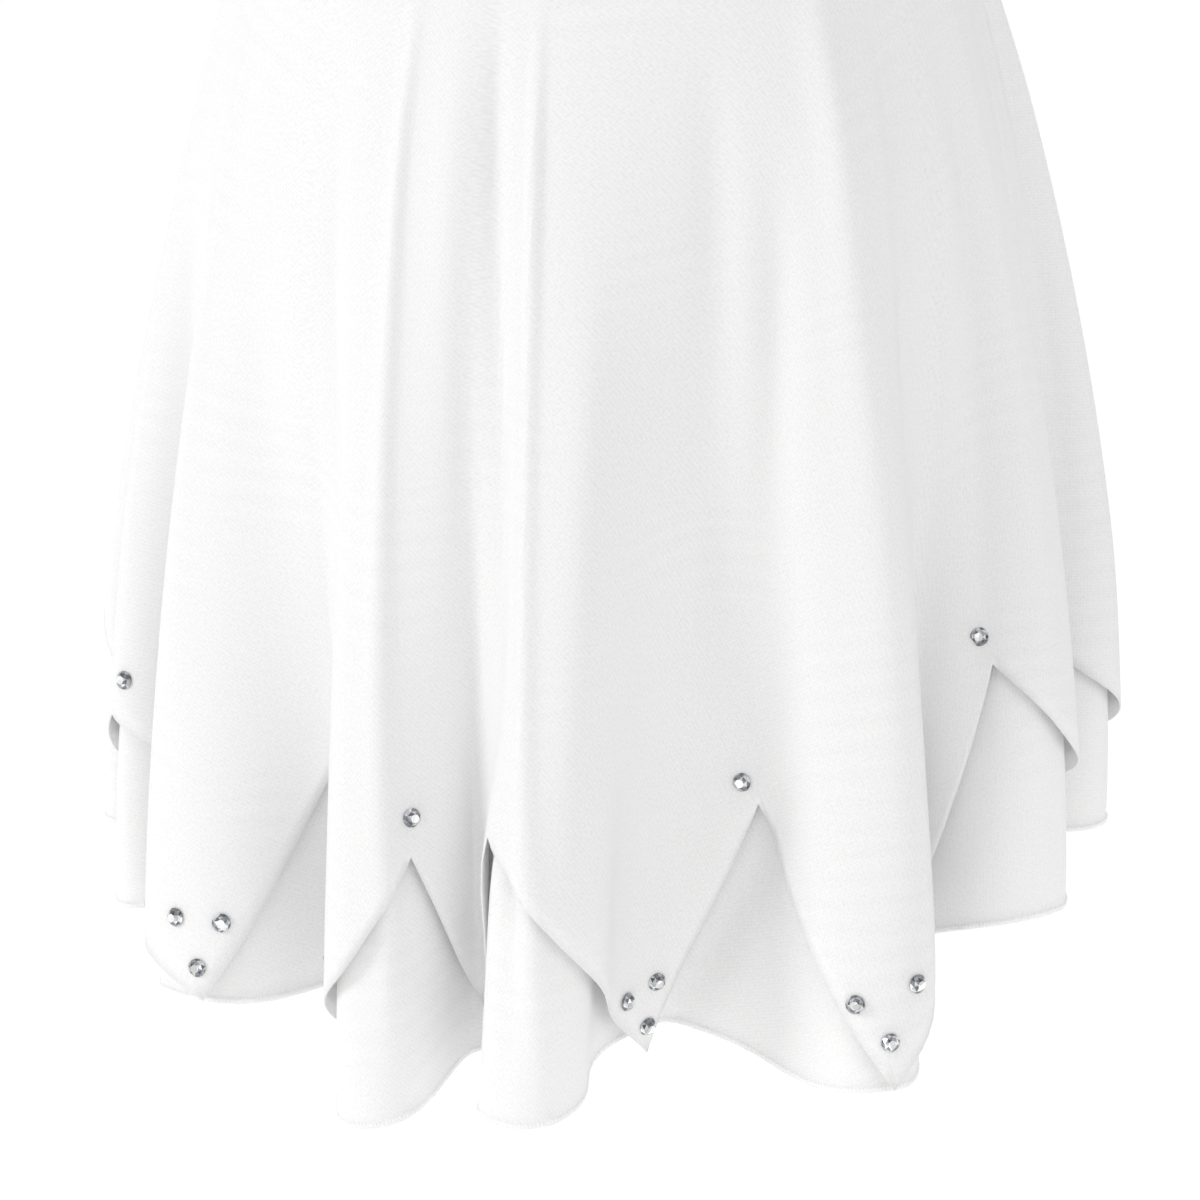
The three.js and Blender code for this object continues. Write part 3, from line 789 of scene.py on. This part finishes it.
# Copies of a stitch set out along an edge at an even pitch
def stitchesAlong():
    tree = newTree(
        "stitches along an edge",
        [
            ("Copy", "NodeSocketObject", None),
            ("Material", "NodeSocketMaterial", None),
            ("Pitch", "NodeSocketFloat", 0.003),
            ("Uneven", "NodeSocketFloat", 0.1),
            ("Seed", "NodeSocketInt", 5),
        ],
    )
    given = addNode(tree, "NodeGroupInput").outputs
    line = addNode(tree, "GeometryNodeMeshToCurve", None, None, {"Mesh": given["Geometry"]})
    spaced = addNode(
        tree, "GeometryNodeResampleCurve", {"mode": "LENGTH"}, None,
        {"Curve": line.outputs["Curve"], "Length": given["Pitch"]},
    )
    tangent = addNode(tree, "GeometryNodeInputTangent").outputs["Tangent"]
    least = mathNode(tree, "MULTIPLY", given["Uneven"], -1.0)
    chance = addNode(
        tree, "FunctionNodeRandomValue", {"data_type": "FLOAT"}, None,
        {"Min": least, "Max": given["Uneven"], "Seed": given["Seed"]},
    )
    skew = addNode(tree, "ShaderNodeCombineXYZ", None, None, {"Z": chance.outputs[1]})
    setOutCopies(tree, given, spaced.outputs["Curve"], tangent, skew.outputs["Vector"])
    return tree


# Runs a tree on a guide mesh and keeps the result as a plain mesh
def growMesh(name, guide, tree, inputs, material):
    modifier = guide.modifiers.new("grow", "NODES")
    modifier.node_group = tree
    for item in tree.interface.items_tree:
        if item.item_type == "SOCKET" and item.in_out == "INPUT" and item.name in inputs:
            modifier[item.identifier] = inputs[item.name]
    bpy.context.view_layer.update()
    evaluated = guide.evaluated_get(bpy.context.evaluated_depsgraph_get())
    mesh = bpy.data.meshes.new_from_object(evaluated)
    mesh.name = name
    guide.modifiers.remove(modifier)
    bpy.data.objects.remove(guide)
    mesh.materials.clear()
    mesh.materials.append(material)
    return addObject(name, mesh)


pointTree = piecesOnPoints()
stitchTree = stitchesAlong()


# The garment's cut lines, as they are drawn on the flat front view
cuts = {
    "neckDepth": {"front": 150, "back": 118},
    "neckCurve": (0.55, 0.8, 0.3),
    "armhole": [(117, -18), (108, -70), (110, -184), (150, -190)],
    "armholeFoot": -190,
    "sideSeamTop": -185,
    "leg": {
        "front": [(33, -706), (52, -672), (110, -628), (156, -604)],
        "back": [(33, -706), (66, -712), (132, -652), (156, -604)],
    },
    "legSide": -604,
    "flankLevel": -300,          # rows run level above this and follow the seam below
}
panel = {
    "columns": 44,
    "thick": 0.6,
    "bodiceInset": 0.6,
    "briefInset": 3.6,
    "girth": 130,                # mm round the body for each radian of angle, on the flat cut
    "edgeFade": [0.8, 0.5, 0.2, 0],
    "flankRows": 26,
    "chestRows": 26,
    "neckRows": 10,
    "shoulderRows": 26,
    "hipRows": 28,
    "legSideRows": 4,
    "seatRows": 24,
}


def bezier(a, b, c, d, count=80):
    a, b, c, d = (np.array(p, float) for p in (a, b, c, d))
    t = np.linspace(0, 1, count)[:, None]
    return (1 - t) ** 3 * a + 3 * (1 - t) ** 2 * t * b + 3 * (1 - t) * t**2 * c + t**3 * d


# Half width that a cut line leaves at each level
def cutLine(points):
    line = bezier(*points)
    order = np.argsort(line[:, 1])
    return lambda z: np.interp(z, line[order, 1], line[order, 0])


def neckLine(side):
    w, d = figure["neckHalfWidth"], cuts["neckDepth"][side]
    flat, low, high = cuts["neckCurve"]
    line = cutLine([(0, -d), (w * flat, -d), (w, -d * low), (w, -d * high)])
    return lambda z: np.where(z <= -d, 0, line(z))


def shoulderDrop(x, z):
    outside = np.maximum(0, np.abs(x) - figure["neckHalfWidth"])
    return figure["shoulderSlope"] * outside * smoothStep(z, figure["shoulderBend"], 0)


# Panel point: away is the angle from the centre line of the front or the back
def bodicePoint(side, away, z, inset):
    halfWidth, halfDepth, back = torsoSection(z, inset)
    fullDepth = readTable(np.minimum(z, figure["shoulderBend"]), "halfDepth") - inset
    closing = np.clip(halfDepth / fullDepth, 0, 1)
    sign = -1 if side == "front" else 1
    x = halfWidth * np.sin(away)
    y = back * closing + sign * halfDepth * np.cos(away)
    return np.stack(np.broadcast_arrays(x, y, z - shoulderDrop(x, z)), axis=-1)


# How far round the side seam lies, at a level
def sideAngle(side, z, inset):
    _, halfDepth, back = torsoSection(z, inset)
    sign = 1 if side == "front" else -1
    return np.arccos(np.clip((sign * back + figure["seamGap"] / 2) / np.maximum(halfDepth, 1), -1, 1))


# How far round a cut line lies, at a level: x there is what the line leaves
def cutAngle(line, z, inset, limit):
    halfWidth, _, _ = torsoSection(z, inset)
    away = limit
    for _ in range(8):
        x = halfWidth * np.sin(away)
        away = np.minimum(limit, np.arcsin(np.clip(line(z - shoulderDrop(x, z)) / halfWidth, 0, 1)))
    return away


# Rows that follow the basque seam at one end and run level at the other
def seamRows(side, inset, drop, endLevel, count):
    across = np.linspace(0, 1, panel["columns"] + 1)
    rows, aways = [], []
    for s in np.linspace(0, 1, count, endpoint=False):
        limit = math.pi / 2
        for _ in range(6):
            away = across * limit
            z = mix(seamLevel(np.degrees(away)) - drop, endLevel, s)
            limit = float(sideAngle(side, z[-1], inset))
        rows.append(bodicePoint(side, away, z, inset))
        aways.append(away)
    return rows, aways


def bodiceRows(side, inset):
    neck = neckLine(side)
    arm = cutLine(cuts["armhole"])
    across = np.linspace(0, 1, panel["columns"] + 1)
    rows, aways = seamRows(side, inset, 0, cuts["flankLevel"], panel["flankRows"])
    depth, bend = cuts["neckDepth"][side], -figure["shoulderBend"]
    levels = list(np.linspace(cuts["flankLevel"], -depth, panel["chestRows"], endpoint=False))
    for q in np.linspace(0, 1, panel["neckRows"], endpoint=False):
        levels.append(-depth + (depth - bend) * q * q)
    for q in np.linspace(0, math.pi / 2, panel["shoulderRows"]):
        levels.append(-bend + (bend - inset) * math.sin(q))
    neckEdge, armEdge = [], []
    for z in levels:
        limit = float(sideAngle(side, z, inset)) if z < cuts["sideSeamTop"] else math.pi / 2
        inner = float(cutAngle(neck, z, inset, limit)) if z > -depth else 0.0
        outer = float(cutAngle(arm, z, inset, limit)) if z > cuts["armholeFoot"] else limit
        away = mix(inner, outer, across)
        rows.append(bodicePoint(side, away, np.full(len(across), z), inset))
        aways.append(away)
        if z >= -depth:
            neckEdge.append(rows[-1][0])
        if z > cuts["armholeFoot"]:
            armEdge.append(rows[-1][-1])
    return np.array(rows), np.array(aways), {"neck": neckEdge, "arm": armEdge}


# Below the seat the brief is the lower half of an ellipsoid, with rows that turn about the x axis
def briefRows(side, inset):
    leg = cutLine(cuts["leg"][side])
    across = np.linspace(0, 1, panel["columns"] + 1)
    rows, aways = seamRows(side, inset, figure["seamGap"], cuts["legSide"], panel["hipRows"])
    legEdge = []
    for z in np.linspace(cuts["legSide"], figure["seatBend"], panel["legSideRows"], endpoint=False):
        outer = float(cutAngle(leg, z, inset, float(sideAngle(side, z, inset))))
        aways.append(across * outer)
        rows.append(bodicePoint(side, aways[-1], np.full(len(across), z), inset))
        legEdge.append(rows[-1][-1])
    halfWidth, halfDepth, back = (float(v) for v in torsoSection(figure["seatBend"], inset))
    halfFall = figure["seatBend"] - figure["crotch"] - inset
    sign = -1 if side == "front" else 1
    for turn in np.linspace(0, math.pi / 2, panel["seatRows"]):
        low, high = 0.0, math.pi / 2
        for _ in range(30):
            middle = (low + high) / 2
            z = figure["seatBend"] - halfFall * math.cos(middle) * math.sin(turn)
            if halfWidth * math.sin(middle) < leg(z):
                low = middle
            else:
                high = middle
        away = across * low
        x = halfWidth * np.sin(away)
        y = back * math.cos(turn) + sign * halfDepth * np.cos(away) * math.cos(turn)
        y = np.where(sign * y < figure["seamGap"] / 2, sign * figure["seamGap"] / 2, y)
        z = figure["seatBend"] - halfFall * np.cos(away) * math.sin(turn)
        rows.append(np.stack([x, y, z], axis=-1))
        aways.append(away)
        legEdge.append(rows[-1][-1])
    return np.array(rows), np.array(aways), {"leg": legEdge}


# The torso form as a level set: zero on the cloth, growing outwards
def formValue(points, inset):
    x, y, z = points[:, 0], points[:, 1], points[:, 2]
    for _ in range(3):
        z = points[:, 2] + shoulderDrop(x, z)
    level = np.clip(z, figure["seatBend"], figure["shoulderBend"])
    halfWidth = readTable(level, "halfWidth") - inset
    halfDepth = readTable(level, "halfDepth") - inset
    rise = np.maximum(0, (z - figure["shoulderBend"]) / (-inset - figure["shoulderBend"]))
    fall = np.maximum(0, (figure["seatBend"] - z) / (figure["seatBend"] - figure["crotch"] - inset))
    closing = np.sqrt(np.clip(1 - rise**2 - fall**2, 0, 1))
    y = y - readTable(level, "back") * closing
    wide = (x / halfWidth) ** 2
    return wide + (y / halfDepth) ** 2 + fall**2 + rise**2 * (1 - wide) - 1


def formSlope(points, inset):
    step = 0.05
    slope = np.empty_like(points)
    for k in range(3):
        shift = np.zeros(3)
        shift[k] = step
        slope[:, k] = (formValue(points + shift, inset) - formValue(points - shift, inset)) / (2 * step)
    return slope


def ontoForm(points, inset):
    for _ in range(5):
        slope = formSlope(points, inset)
        points = points - slope * (formValue(points, inset) / (slope**2).sum(1))[:, None]
    return points, unit(formSlope(points, inset))


# Soft creases of the body pieces. angle: round the body from centre front. lean: degrees that
# it wanders over its length. length, width: mm. depth: mm outwards.
bodyCreases = tableColumns(
    ("angle", "z", "lean", "length", "width", "depth"),
    [
        (64, -330, -18, 95, 9, -1.1),
        (76, -300, -26, 80, 8, -0.9),
        (58, -372, -12, 70, 7, 0.8),
        (-62, -338, 20, 88, 9, -1.0),
        (-75, -312, 24, 84, 8, -1.2),
        (-55, -380, 12, 60, 7, 0.9),
        (22, -352, 10, 70, 8, -0.6),
        (-18, -366, -9, 84, 8, -0.7),
        (84, -228, -14, 52, 7, -0.9),
        (-83, -236, 13, 60, 7, -0.8),
        (118, -318, 22, 86, 9, -1.1),
        (135, -352, 16, 64, 8, 0.8),
        (-121, -326, -20, 92, 9, -1.0),
        (-140, -360, -14, 58, 8, 0.9),
        (168, -340, 9, 76, 8, -0.8),
        (-164, -322, -11, 90, 8, -0.7),
        (40, -560, 14, 90, 9, -0.9),
        (-46, -548, -16, 82, 9, -0.8),
        (142, -600, -12, 84, 9, -1.0),
        (-138, -592, 14, 92, 9, -0.9),
    ],
)


def bodyCreaseHeight(angle, z):
    height = np.zeros(np.broadcast(angle, z).shape)
    for k in range(len(bodyCreases["angle"])):
        runs = (z - bodyCreases["z"][k]) / bodyCreases["length"][k]
        off = (angle - bodyCreases["angle"][k] - bodyCreases["lean"][k] * runs + 180) % 360 - 180
        across = off * math.radians(1) * panel["girth"] / bodyCreases["width"][k]
        height += bodyCreases["depth"][k] * np.exp(-across**2 - (2 * runs) ** 2)
    return height


# A panel of the body: rows of one half, mirrored about the centre line, with the cloth's thickness
def bodyPanel(name, side, rows, aways, inset, material):
    count, columns = rows.shape[:2]
    flat = rows.reshape(-1, 3)
    points, uvs, faces, faceUvs = [], [], [], []
    for mirror in (1, -1):
        _, normal = ontoForm(flat, inset)
        angle = np.degrees(aways.ravel()) if side == "front" else 180 - np.degrees(aways.ravel())
        height = bodyCreaseHeight(mirror * angle, flat[:, 2])
        edge = np.ones((count, columns))
        edge[:, -len(panel["edgeFade"]):] = panel["edgeFade"]
        shifted = flat + normal * (height * edge.ravel())[:, None]
        start = len(points)
        points += (shifted * (mirror, 1, 1)).tolist()
        uvs += np.stack([mirror * aways.ravel() * panel["girth"], flat[:, 2]], axis=-1).tolist()
        for i in range(count - 1):
            for j in range(columns - 1):
                a = start + i * columns + j
                corners = (a, a + 1, a + columns + 1, a + columns)
                faces.append(corners if mirror == 1 else corners[::-1])
                faceUvs += [uvs[c] for c in faces[-1]]
    obj = makeMesh(name, points, faces, material, np.array(faceUvs) * mm)
    work = bmesh.new()
    work.from_mesh(obj.data)
    bmesh.ops.remove_doubles(work, verts=work.verts, dist=0.01 * mm)
    bmesh.ops.dissolve_degenerate(work, edges=work.edges, dist=0.005 * mm)
    bmesh.ops.recalc_face_normals(work, faces=work.faces)
    outward = sum(f.normal.y * f.calc_area() for f in work.faces)
    if (outward > 0) == (side == "front"):
        bmesh.ops.reverse_faces(work, faces=work.faces)
    work.to_mesh(obj.data)
    work.free()
    wall = obj.modifiers.new("cloth thickness", "SOLIDIFY")
    wall.thickness = panel["thick"] * mm
    wall.offset = 0
    thick = bpy.data.meshes.new_from_object(obj.evaluated_get(bpy.context.evaluated_depsgraph_get()))
    obj.modifiers.remove(wall)
    obj.data = thick
    thick.name = name
    return obj


bodyKnit = knitMaterial("white bodice knit", 0.0)
bodice, brief = {}, {}
edgePoints = {}
for side in ("front", "back"):
    rows, aways, edges = bodiceRows(side, panel["bodiceInset"])
    edgePoints.update({(side, key): np.array(line) for key, line in edges.items()})
    bodice[side] = bodyPanel("bodice_panel_" + side, side, rows, aways, panel["bodiceInset"], bodyKnit)
    rows, aways, edges = briefRows(side, panel["briefInset"])
    edgePoints.update({(side, key): np.array(line) for key, line in edges.items()})
    brief[side] = bodyPanel("brief_panel_" + side, side, rows, aways, panel["briefInset"], bodyKnit)
print("body panels:", [len(o.data.polygons) for o in (*bodice.values(), *brief.values())], "faces")


# Turned edges. Half the loop is the front's edge, the other half the back's, and they meet at a seam.
turnedEdge = {
    # mm in from the fold, and half the thickness there
    "section": [(9.2, 0.30), (8.7, 0.60), (1.0, 0.66), (-0.2, 0.45), (-0.6, 0.0)],
    "step": 3.0,                 # mm between rings
    "needles": (5.6, 7.6),       # twin-needle rows, from the fold
    "stitch": {"length": 2.2, "thread": 0.4, "pitch": 3.0, "lift": 0.68, "uneven": 0.05},
}
overlockThread = {
    "length": 1.7,
    "thread": 0.38,
    "pitch": 1.3,
    "above": 1.4,                # mm above the edge of the hem
    "lift": 0.85,
    "uneven": 0.22,
    "guides": 900,               # points on the line that the stitches follow
}


def evenLoop(points, step):
    points = np.vstack([points, points[:1]])
    run = np.concatenate([[0], np.cumsum(np.linalg.norm(np.diff(points, axis=0), axis=1))])
    keep = np.concatenate([[True], np.diff(run) > 1e-4])
    at = np.linspace(0, run[-1], max(24, round(run[-1] / step)), endpoint=False)
    return np.stack([np.interp(at, run[keep], points[keep, k]) for k in range(3)], axis=-1)


def edgeFrame(points, inset):
    points, normal = ontoForm(points, inset)
    along = unit(np.roll(points, -1, axis=0) - np.roll(points, 1, axis=0))
    inward = unit(np.cross(normal, along))
    if ((points - points.mean(axis=0)) * inward).sum() < 0:
        inward = -inward
    return points, along, inward


def edgeLoops():
    def joined(key, mirror):
        front = edgePoints["front", key] * (mirror, 1, 1)
        back = edgePoints["back", key] * (mirror, 1, 1)
        return np.vstack([front, back[::-1]])

    neckFront, neckBack = edgePoints["front", "neck"], edgePoints["back", "neck"]
    otherSide = (-1, 1, 1)
    neck = np.vstack(
        [neckFront, neckBack[::-1], neckBack[1:] * otherSide, neckFront[::-1][:-1] * otherSide]
    )
    yield "neck_edge", neck, panel["bodiceInset"], "neck"
    for name, mirror in (("left", 1), ("right", -1)):
        yield "armhole_edge_" + name, joined("arm", mirror), panel["bodiceInset"], "arm"
        yield "leg_edge_" + name, joined("leg", mirror), panel["briefInset"], "leg"


def makeTurnedEdge(name, loop, inset, material):
    points, along, inward = edgeFrame(evenLoop(loop, turnedEdge["step"]), inset)
    section = turnedEdge["section"]
    section = section + [(u, -v) for u, v in section[-2::-1]]
    rings = []
    for u, v in section:
        lying, normal = ontoForm(points + inward * u, inset)
        rings.append(lying + normal * v)
    count, around = len(points), len(section)
    faces, uvs = [], []
    for k in range(count):
        after = (k + 1) % count
        for j in range(around):
            beside = (j + 1) % around
            faces.append((k * around + j, k * around + beside, after * around + beside, after * around + j))
            run = np.array([k, k, k + 1, k + 1]) * turnedEdge["step"]
            over = np.array([j, j + 1, j + 1, j]) * 2.0
            uvs += np.stack([run, over], axis=-1).tolist()
    grid = np.stack(rings, axis=1).reshape(-1, 3)
    obj = makeMesh(name, grid, faces, material, np.array(uvs) * mm)
    work = bmesh.new()
    work.from_mesh(obj.data)
    bmesh.ops.recalc_face_normals(work, faces=work.faces)
    work.to_mesh(obj.data)
    work.free()
    return obj


# A stitch: a short thread with rounded ends, lying along x or, for overlock, along y
def stitchTemplate(name, size, axis, material):
    length, radius = size["length"], size["thread"] / 2
    rings = [(-0.5, 0.35), (-0.36, 1.0), (0.36, 1.0), (0.5, 0.35)]
    sides = 6
    points, faces = [], []
    for at, wide in rings:
        for k in range(sides):
            angle = 2 * math.pi * k / sides
            across, up = math.cos(angle) * radius * wide, math.sin(angle) * radius * wide
            points.append((at * length, across, up) if axis == "x" else (across, at * length, up))
    for i in range(len(rings) - 1):
        for k in range(sides):
            after = (k + 1) % sides
            faces.append((i * sides + k, i * sides + after, (i + 1) * sides + after, (i + 1) * sides + k))
    last = (len(rings) - 1) * sides
    faces += [tuple(reversed(range(sides))), tuple(range(last, last + sides))]
    if axis == "x":
        faces = [face[::-1] for face in faces]
    return makeMesh(name, points, faces, material)


# Textured polyester thread of the overlocker and the twin needle: loose and soft, a little brighter
# than the matt cloth.
def threadMaterial():
    material = bpy.data.materials.new("textured polyester thread")
    material.use_nodes = True
    shader = material.node_tree.nodes["Principled BSDF"]
    shader.inputs["Base Color"].default_value = linearColour("#fbfbf9")
    shader.inputs["Roughness"].default_value = 0.55
    shader.inputs["Sheen Weight"].default_value = 0.2
    return material


# Sets a template's copies out along a closed line
def sewAlong(name, guide, template, size, seed):
    inputs = {"Copy": template, "Material": thread, "Pitch": size["pitch"] * mm, "Uneven": size["uneven"]}
    return growMesh(name, guide, stitchTree, {**inputs, "Seed": seed}, thread)


thread = threadMaterial()
runningStitch = stitchTemplate("running_stitch", turnedEdge["stitch"], "x", thread)
turnedEdges = {"neck": [], "arm": [], "leg": []}
for name, loop, inset, key in edgeLoops():
    turnedEdges[key].append(makeTurnedEdge(name, loop, inset, bodyKnit))
    points, along, inward = edgeFrame(evenLoop(loop, turnedEdge["step"]), inset)
    for number, needle in enumerate(turnedEdge["needles"], 1):
        lying, normal = ontoForm(points + inward * needle, inset)
        top = lying + normal * turnedEdge["stitch"]["lift"]
        guide = guideMesh(name + "_guide", top, normal, along, loop=True)
        stitchName = name + "_stitches_" + str(number)
        turnedEdges[key].append(sewAlong(stitchName, guide, runningStitch, turnedEdge["stitch"], number))
bpy.data.objects.remove(runningStitch)
print("turned edges and their stitches are on")


# Overlock thread over the rolled hem, really every 1 mm, drawn every 1.3 mm
def hemOverlock():
    down = 1 - overlockThread["above"] / skirtDrop
    places = placeAt(np.linspace(0, wholeHem, overlockThread["guides"], endpoint=False))
    normal = skirtNormal(places, down)
    inwards = figure["cadWall"] + skirt["layerGap"]
    offset = creaseHeight(places, down) - inwards + overlockThread["lift"]
    points = skirtPoint(places, down) + normal * offset[:, None]
    guide = guideMesh("hem_guide", points, normal, normal, loop=True)
    stitch = stitchTemplate("overlock_stitch", overlockThread, "y", thread)
    grown = sewAlong("hem_overlock", guide, stitch, overlockThread, 11)
    bpy.data.objects.remove(stitch)
    return grown


overlock = hemOverlock()
print("overlock:", len(overlock.data.polygons), "faces")


# Foiled flat-back stone: pressed and polished lead-free crystal glass, silvered behind. The hard light and
# dark facets round a bright table, over a grey rim, are painted reflections and a painted highlight; these
# painted tones ride on the mesh.
stones = {
    "across": 6.8,
    "height": 2.6,
    "table": 0.46,               # shares of the width
    "waist": 0.78,
    "foot": 0.98,
    "waistUp": 0.62,             # share of the height
    "girdleUp": 0.35,            # mm above the foot
    "lift": 0.25,                # bottom of the stone above the middle of the cloth
    "facets": 8,
    # painted reflections on the facets, dark and light by their tilt, and a white painted highlight on the
    # table
    "paintedReflectionTones": ("#f2f3f5", "#63666c", "#b9bcc2", "#82858b", "#ffffff", "#8e9197", "#a3a6ad", "#d8dbdf"),
}


def stoneMaterial():
    material = bpy.data.materials.new("foiled crystal glass")
    material.use_nodes = True
    tree = material.node_tree
    tree.nodes.clear()
    # painted reflections: each face's painted tone is read from the mesh
    facet = addNode(tree, "ShaderNodeAttribute", {"attribute_name": "paintedReflectionTone"})
    place = addNode(tree, "ShaderNodeTexCoord")
    # painted glints: small cells brighten and darken the painted facet reflections
    cells = addNode(
        tree, "ShaderNodeTexVoronoi", {"feature": "F1", "distance": "EUCLIDEAN"},
        {"Scale": 380.0, "Randomness": 0.9}, {"Vector": place.outputs["Object"]},
    )
    cellTone = addNode(tree, "ShaderNodeSeparateColor", None, None, {"Color": cells.outputs["Color"]})
    paintedGlint = addNode(
        tree, "ShaderNodeMapRange", None, {"From Min": 0.2, "From Max": 0.8, "To Min": 0.6, "To Max": 1.1},
        {"Value": cellTone.outputs["Red"]},
    )
    tone = addNode(
        tree, "ShaderNodeVectorMath", {"operation": "SCALE"}, None,
        {0: facet.outputs["Color"], "Scale": paintedGlint.outputs["Result"]},
    )
    shader = addNode(
        tree, "ShaderNodeBsdfPrincipled", None,
        {"Metallic": 1.0, "Roughness": 0.24, "Coat Weight": 0.6, "Coat Roughness": 0.03},
        {"Base Color": tone.outputs["Vector"]},
    )
    addNode(tree, "ShaderNodeOutputMaterial", None, None, {"Surface": shader.outputs["BSDF"]})
    return material


def stoneTemplate(material):
    count = stones["facets"]
    radius = stones["across"] / 2
    rings = [  # radius, height, turn in steps, points
        (radius * stones["foot"], 0.0, 0.0, count * 2),
        (radius, stones["girdleUp"], 0.0, count * 2),
        (radius * stones["waist"], stones["height"] * stones["waistUp"], 0.5, count),
        (radius * stones["table"], stones["height"], 0.0, count),
    ]
    points = []
    starts = []
    for size, height, turn, number in rings:
        starts.append(len(points))
        for k in range(number):
            angle = 2 * math.pi * (k / number + turn / count)
            points.append((size * math.cos(angle), size * math.sin(angle), height))
    base, girdle, waist, table = starts
    faces = [tuple(base + k for k in reversed(range(2 * count)))]
    paintedReflectionTones = [0]
    for k in range(2 * count):
        after = (k + 1) % (2 * count)
        faces.append((base + k, base + after, girdle + after, girdle + k))
        paintedReflectionTones.append(5)
    for k in range(count):
        after = (k + 1) % count
        even, odd, last = girdle + 2 * k, girdle + 2 * k + 1, girdle + (2 * k + 2) % (2 * count)
        faces += [(even, odd, waist + k), (odd, last, waist + k)]
        faces += [(waist + k, last, waist + after)]
        faces += [(table + k, waist + k, table + after), (table + after, waist + k, waist + after)]
        paintedReflectionTones += [(3 * k + 1) % 8, (5 * k + 3) % 8, (3 * k + 5) % 8, (k + 2) % 8, (3 * k) % 8]
    faces.append(tuple(table + k for k in range(count)))
    paintedReflectionTones.append(4)
    stone = makeMesh("stone_template", points, faces, material, smooth=False)
    # each face keeps its painted reflection tone: grey rim, light and dark facets, white painted highlight
    # on the table
    layer = stone.data.attributes.new("paintedReflectionTone", "FLOAT_COLOR", "FACE")
    for k, tone in enumerate(paintedReflectionTones):
        layer.data[k].color = linearColour(stones["paintedReflectionTones"][tone])
    return stone


# Where the stones sit against the zigzag: one above each notch and three in each point, as
# (along the hem, above the corner). Glued by hand, so the ones in front differ a little.
notchStones = [(-1, 13)]
pointStones = [(-10, 31), (10, 31), (0, 15)]
stonesOfCorner = {
    0: [(8, 12.5)],
    1: [(-9, 27), (9.5, 27), (-1, 11)],
    2: [(9, 12)],
    4: [(1, 12.5)],
    5: [],
    6: [],
    7: [(-14, 25), (1.5, 27), (-1.5, 11)],
    8: [(-7, 6.5)],
    9: [(-14.5, 29), (7, 34), (-2, 16)],
    11: [(-18, 32), (-10, 36), (-12, 17)],
    12: [(-7, 10.5)],
    34: [],
}


def stonePlaces():
    lengths, ups, prouds = [], [], []
    for k, (at, up, proud) in enumerate(corners):
        usual = notchStones if k % 2 == 0 else pointStones
        for across, above in stonesOfCorner.get(k, usual):
            lengths.append(at + across)
            ups.append(up + above)
            prouds.append(proud)
    lengths, ups, prouds = (np.array(column, float) for column in (lengths, ups, prouds))
    place = placeAt(lengths)
    down = 1 - ups / skirtDrop
    normal = skirtNormal(place, down)
    height = prouds * down**4 + creaseHeight(place, down) + stones["lift"]
    along = skirtPoint(place + 0.01, down) - skirtPoint(place - 0.01, down)
    return skirtPoint(place, down) + normal * height[:, None], normal, along


stoneGlass = stoneMaterial()
stoneShape = stoneTemplate(stoneGlass)
hemStones = growMesh(
    "hem_stones", guideMesh("stone_places", *stonePlaces()), pointTree,
    {"Copy": stoneShape, "Material": stoneGlass, "Turn": 3.14, "Tilt": 0.05, "Seed": 3}, stoneGlass,
)
bpy.data.objects.remove(stoneShape)
print("stones:", len(hemStones.data.polygons), "faces")

bodiceEdges = turnedEdges["neck"] + turnedEdges["arm"]
legEdges = turnedEdges["leg"]
pieces = [
    (outerLayer, "skirt_outer", "skirt_knit", [hemStones]),
    (underLayer, "skirt_under", "skirt_knit", [overlock]),
    (bodice["front"], "bodice_front", "body_knit", bodiceEdges),
    (bodice["back"], "bodice_back", "body_knit", []),
    (brief["front"], "brief_front", "body_knit", legEdges),
    (brief["back"], "brief_back", "body_knit", []),
]
for piece, node, slot, others in pieces:
    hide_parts(node)
    for each in [piece, *others]:
        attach(each, "root")
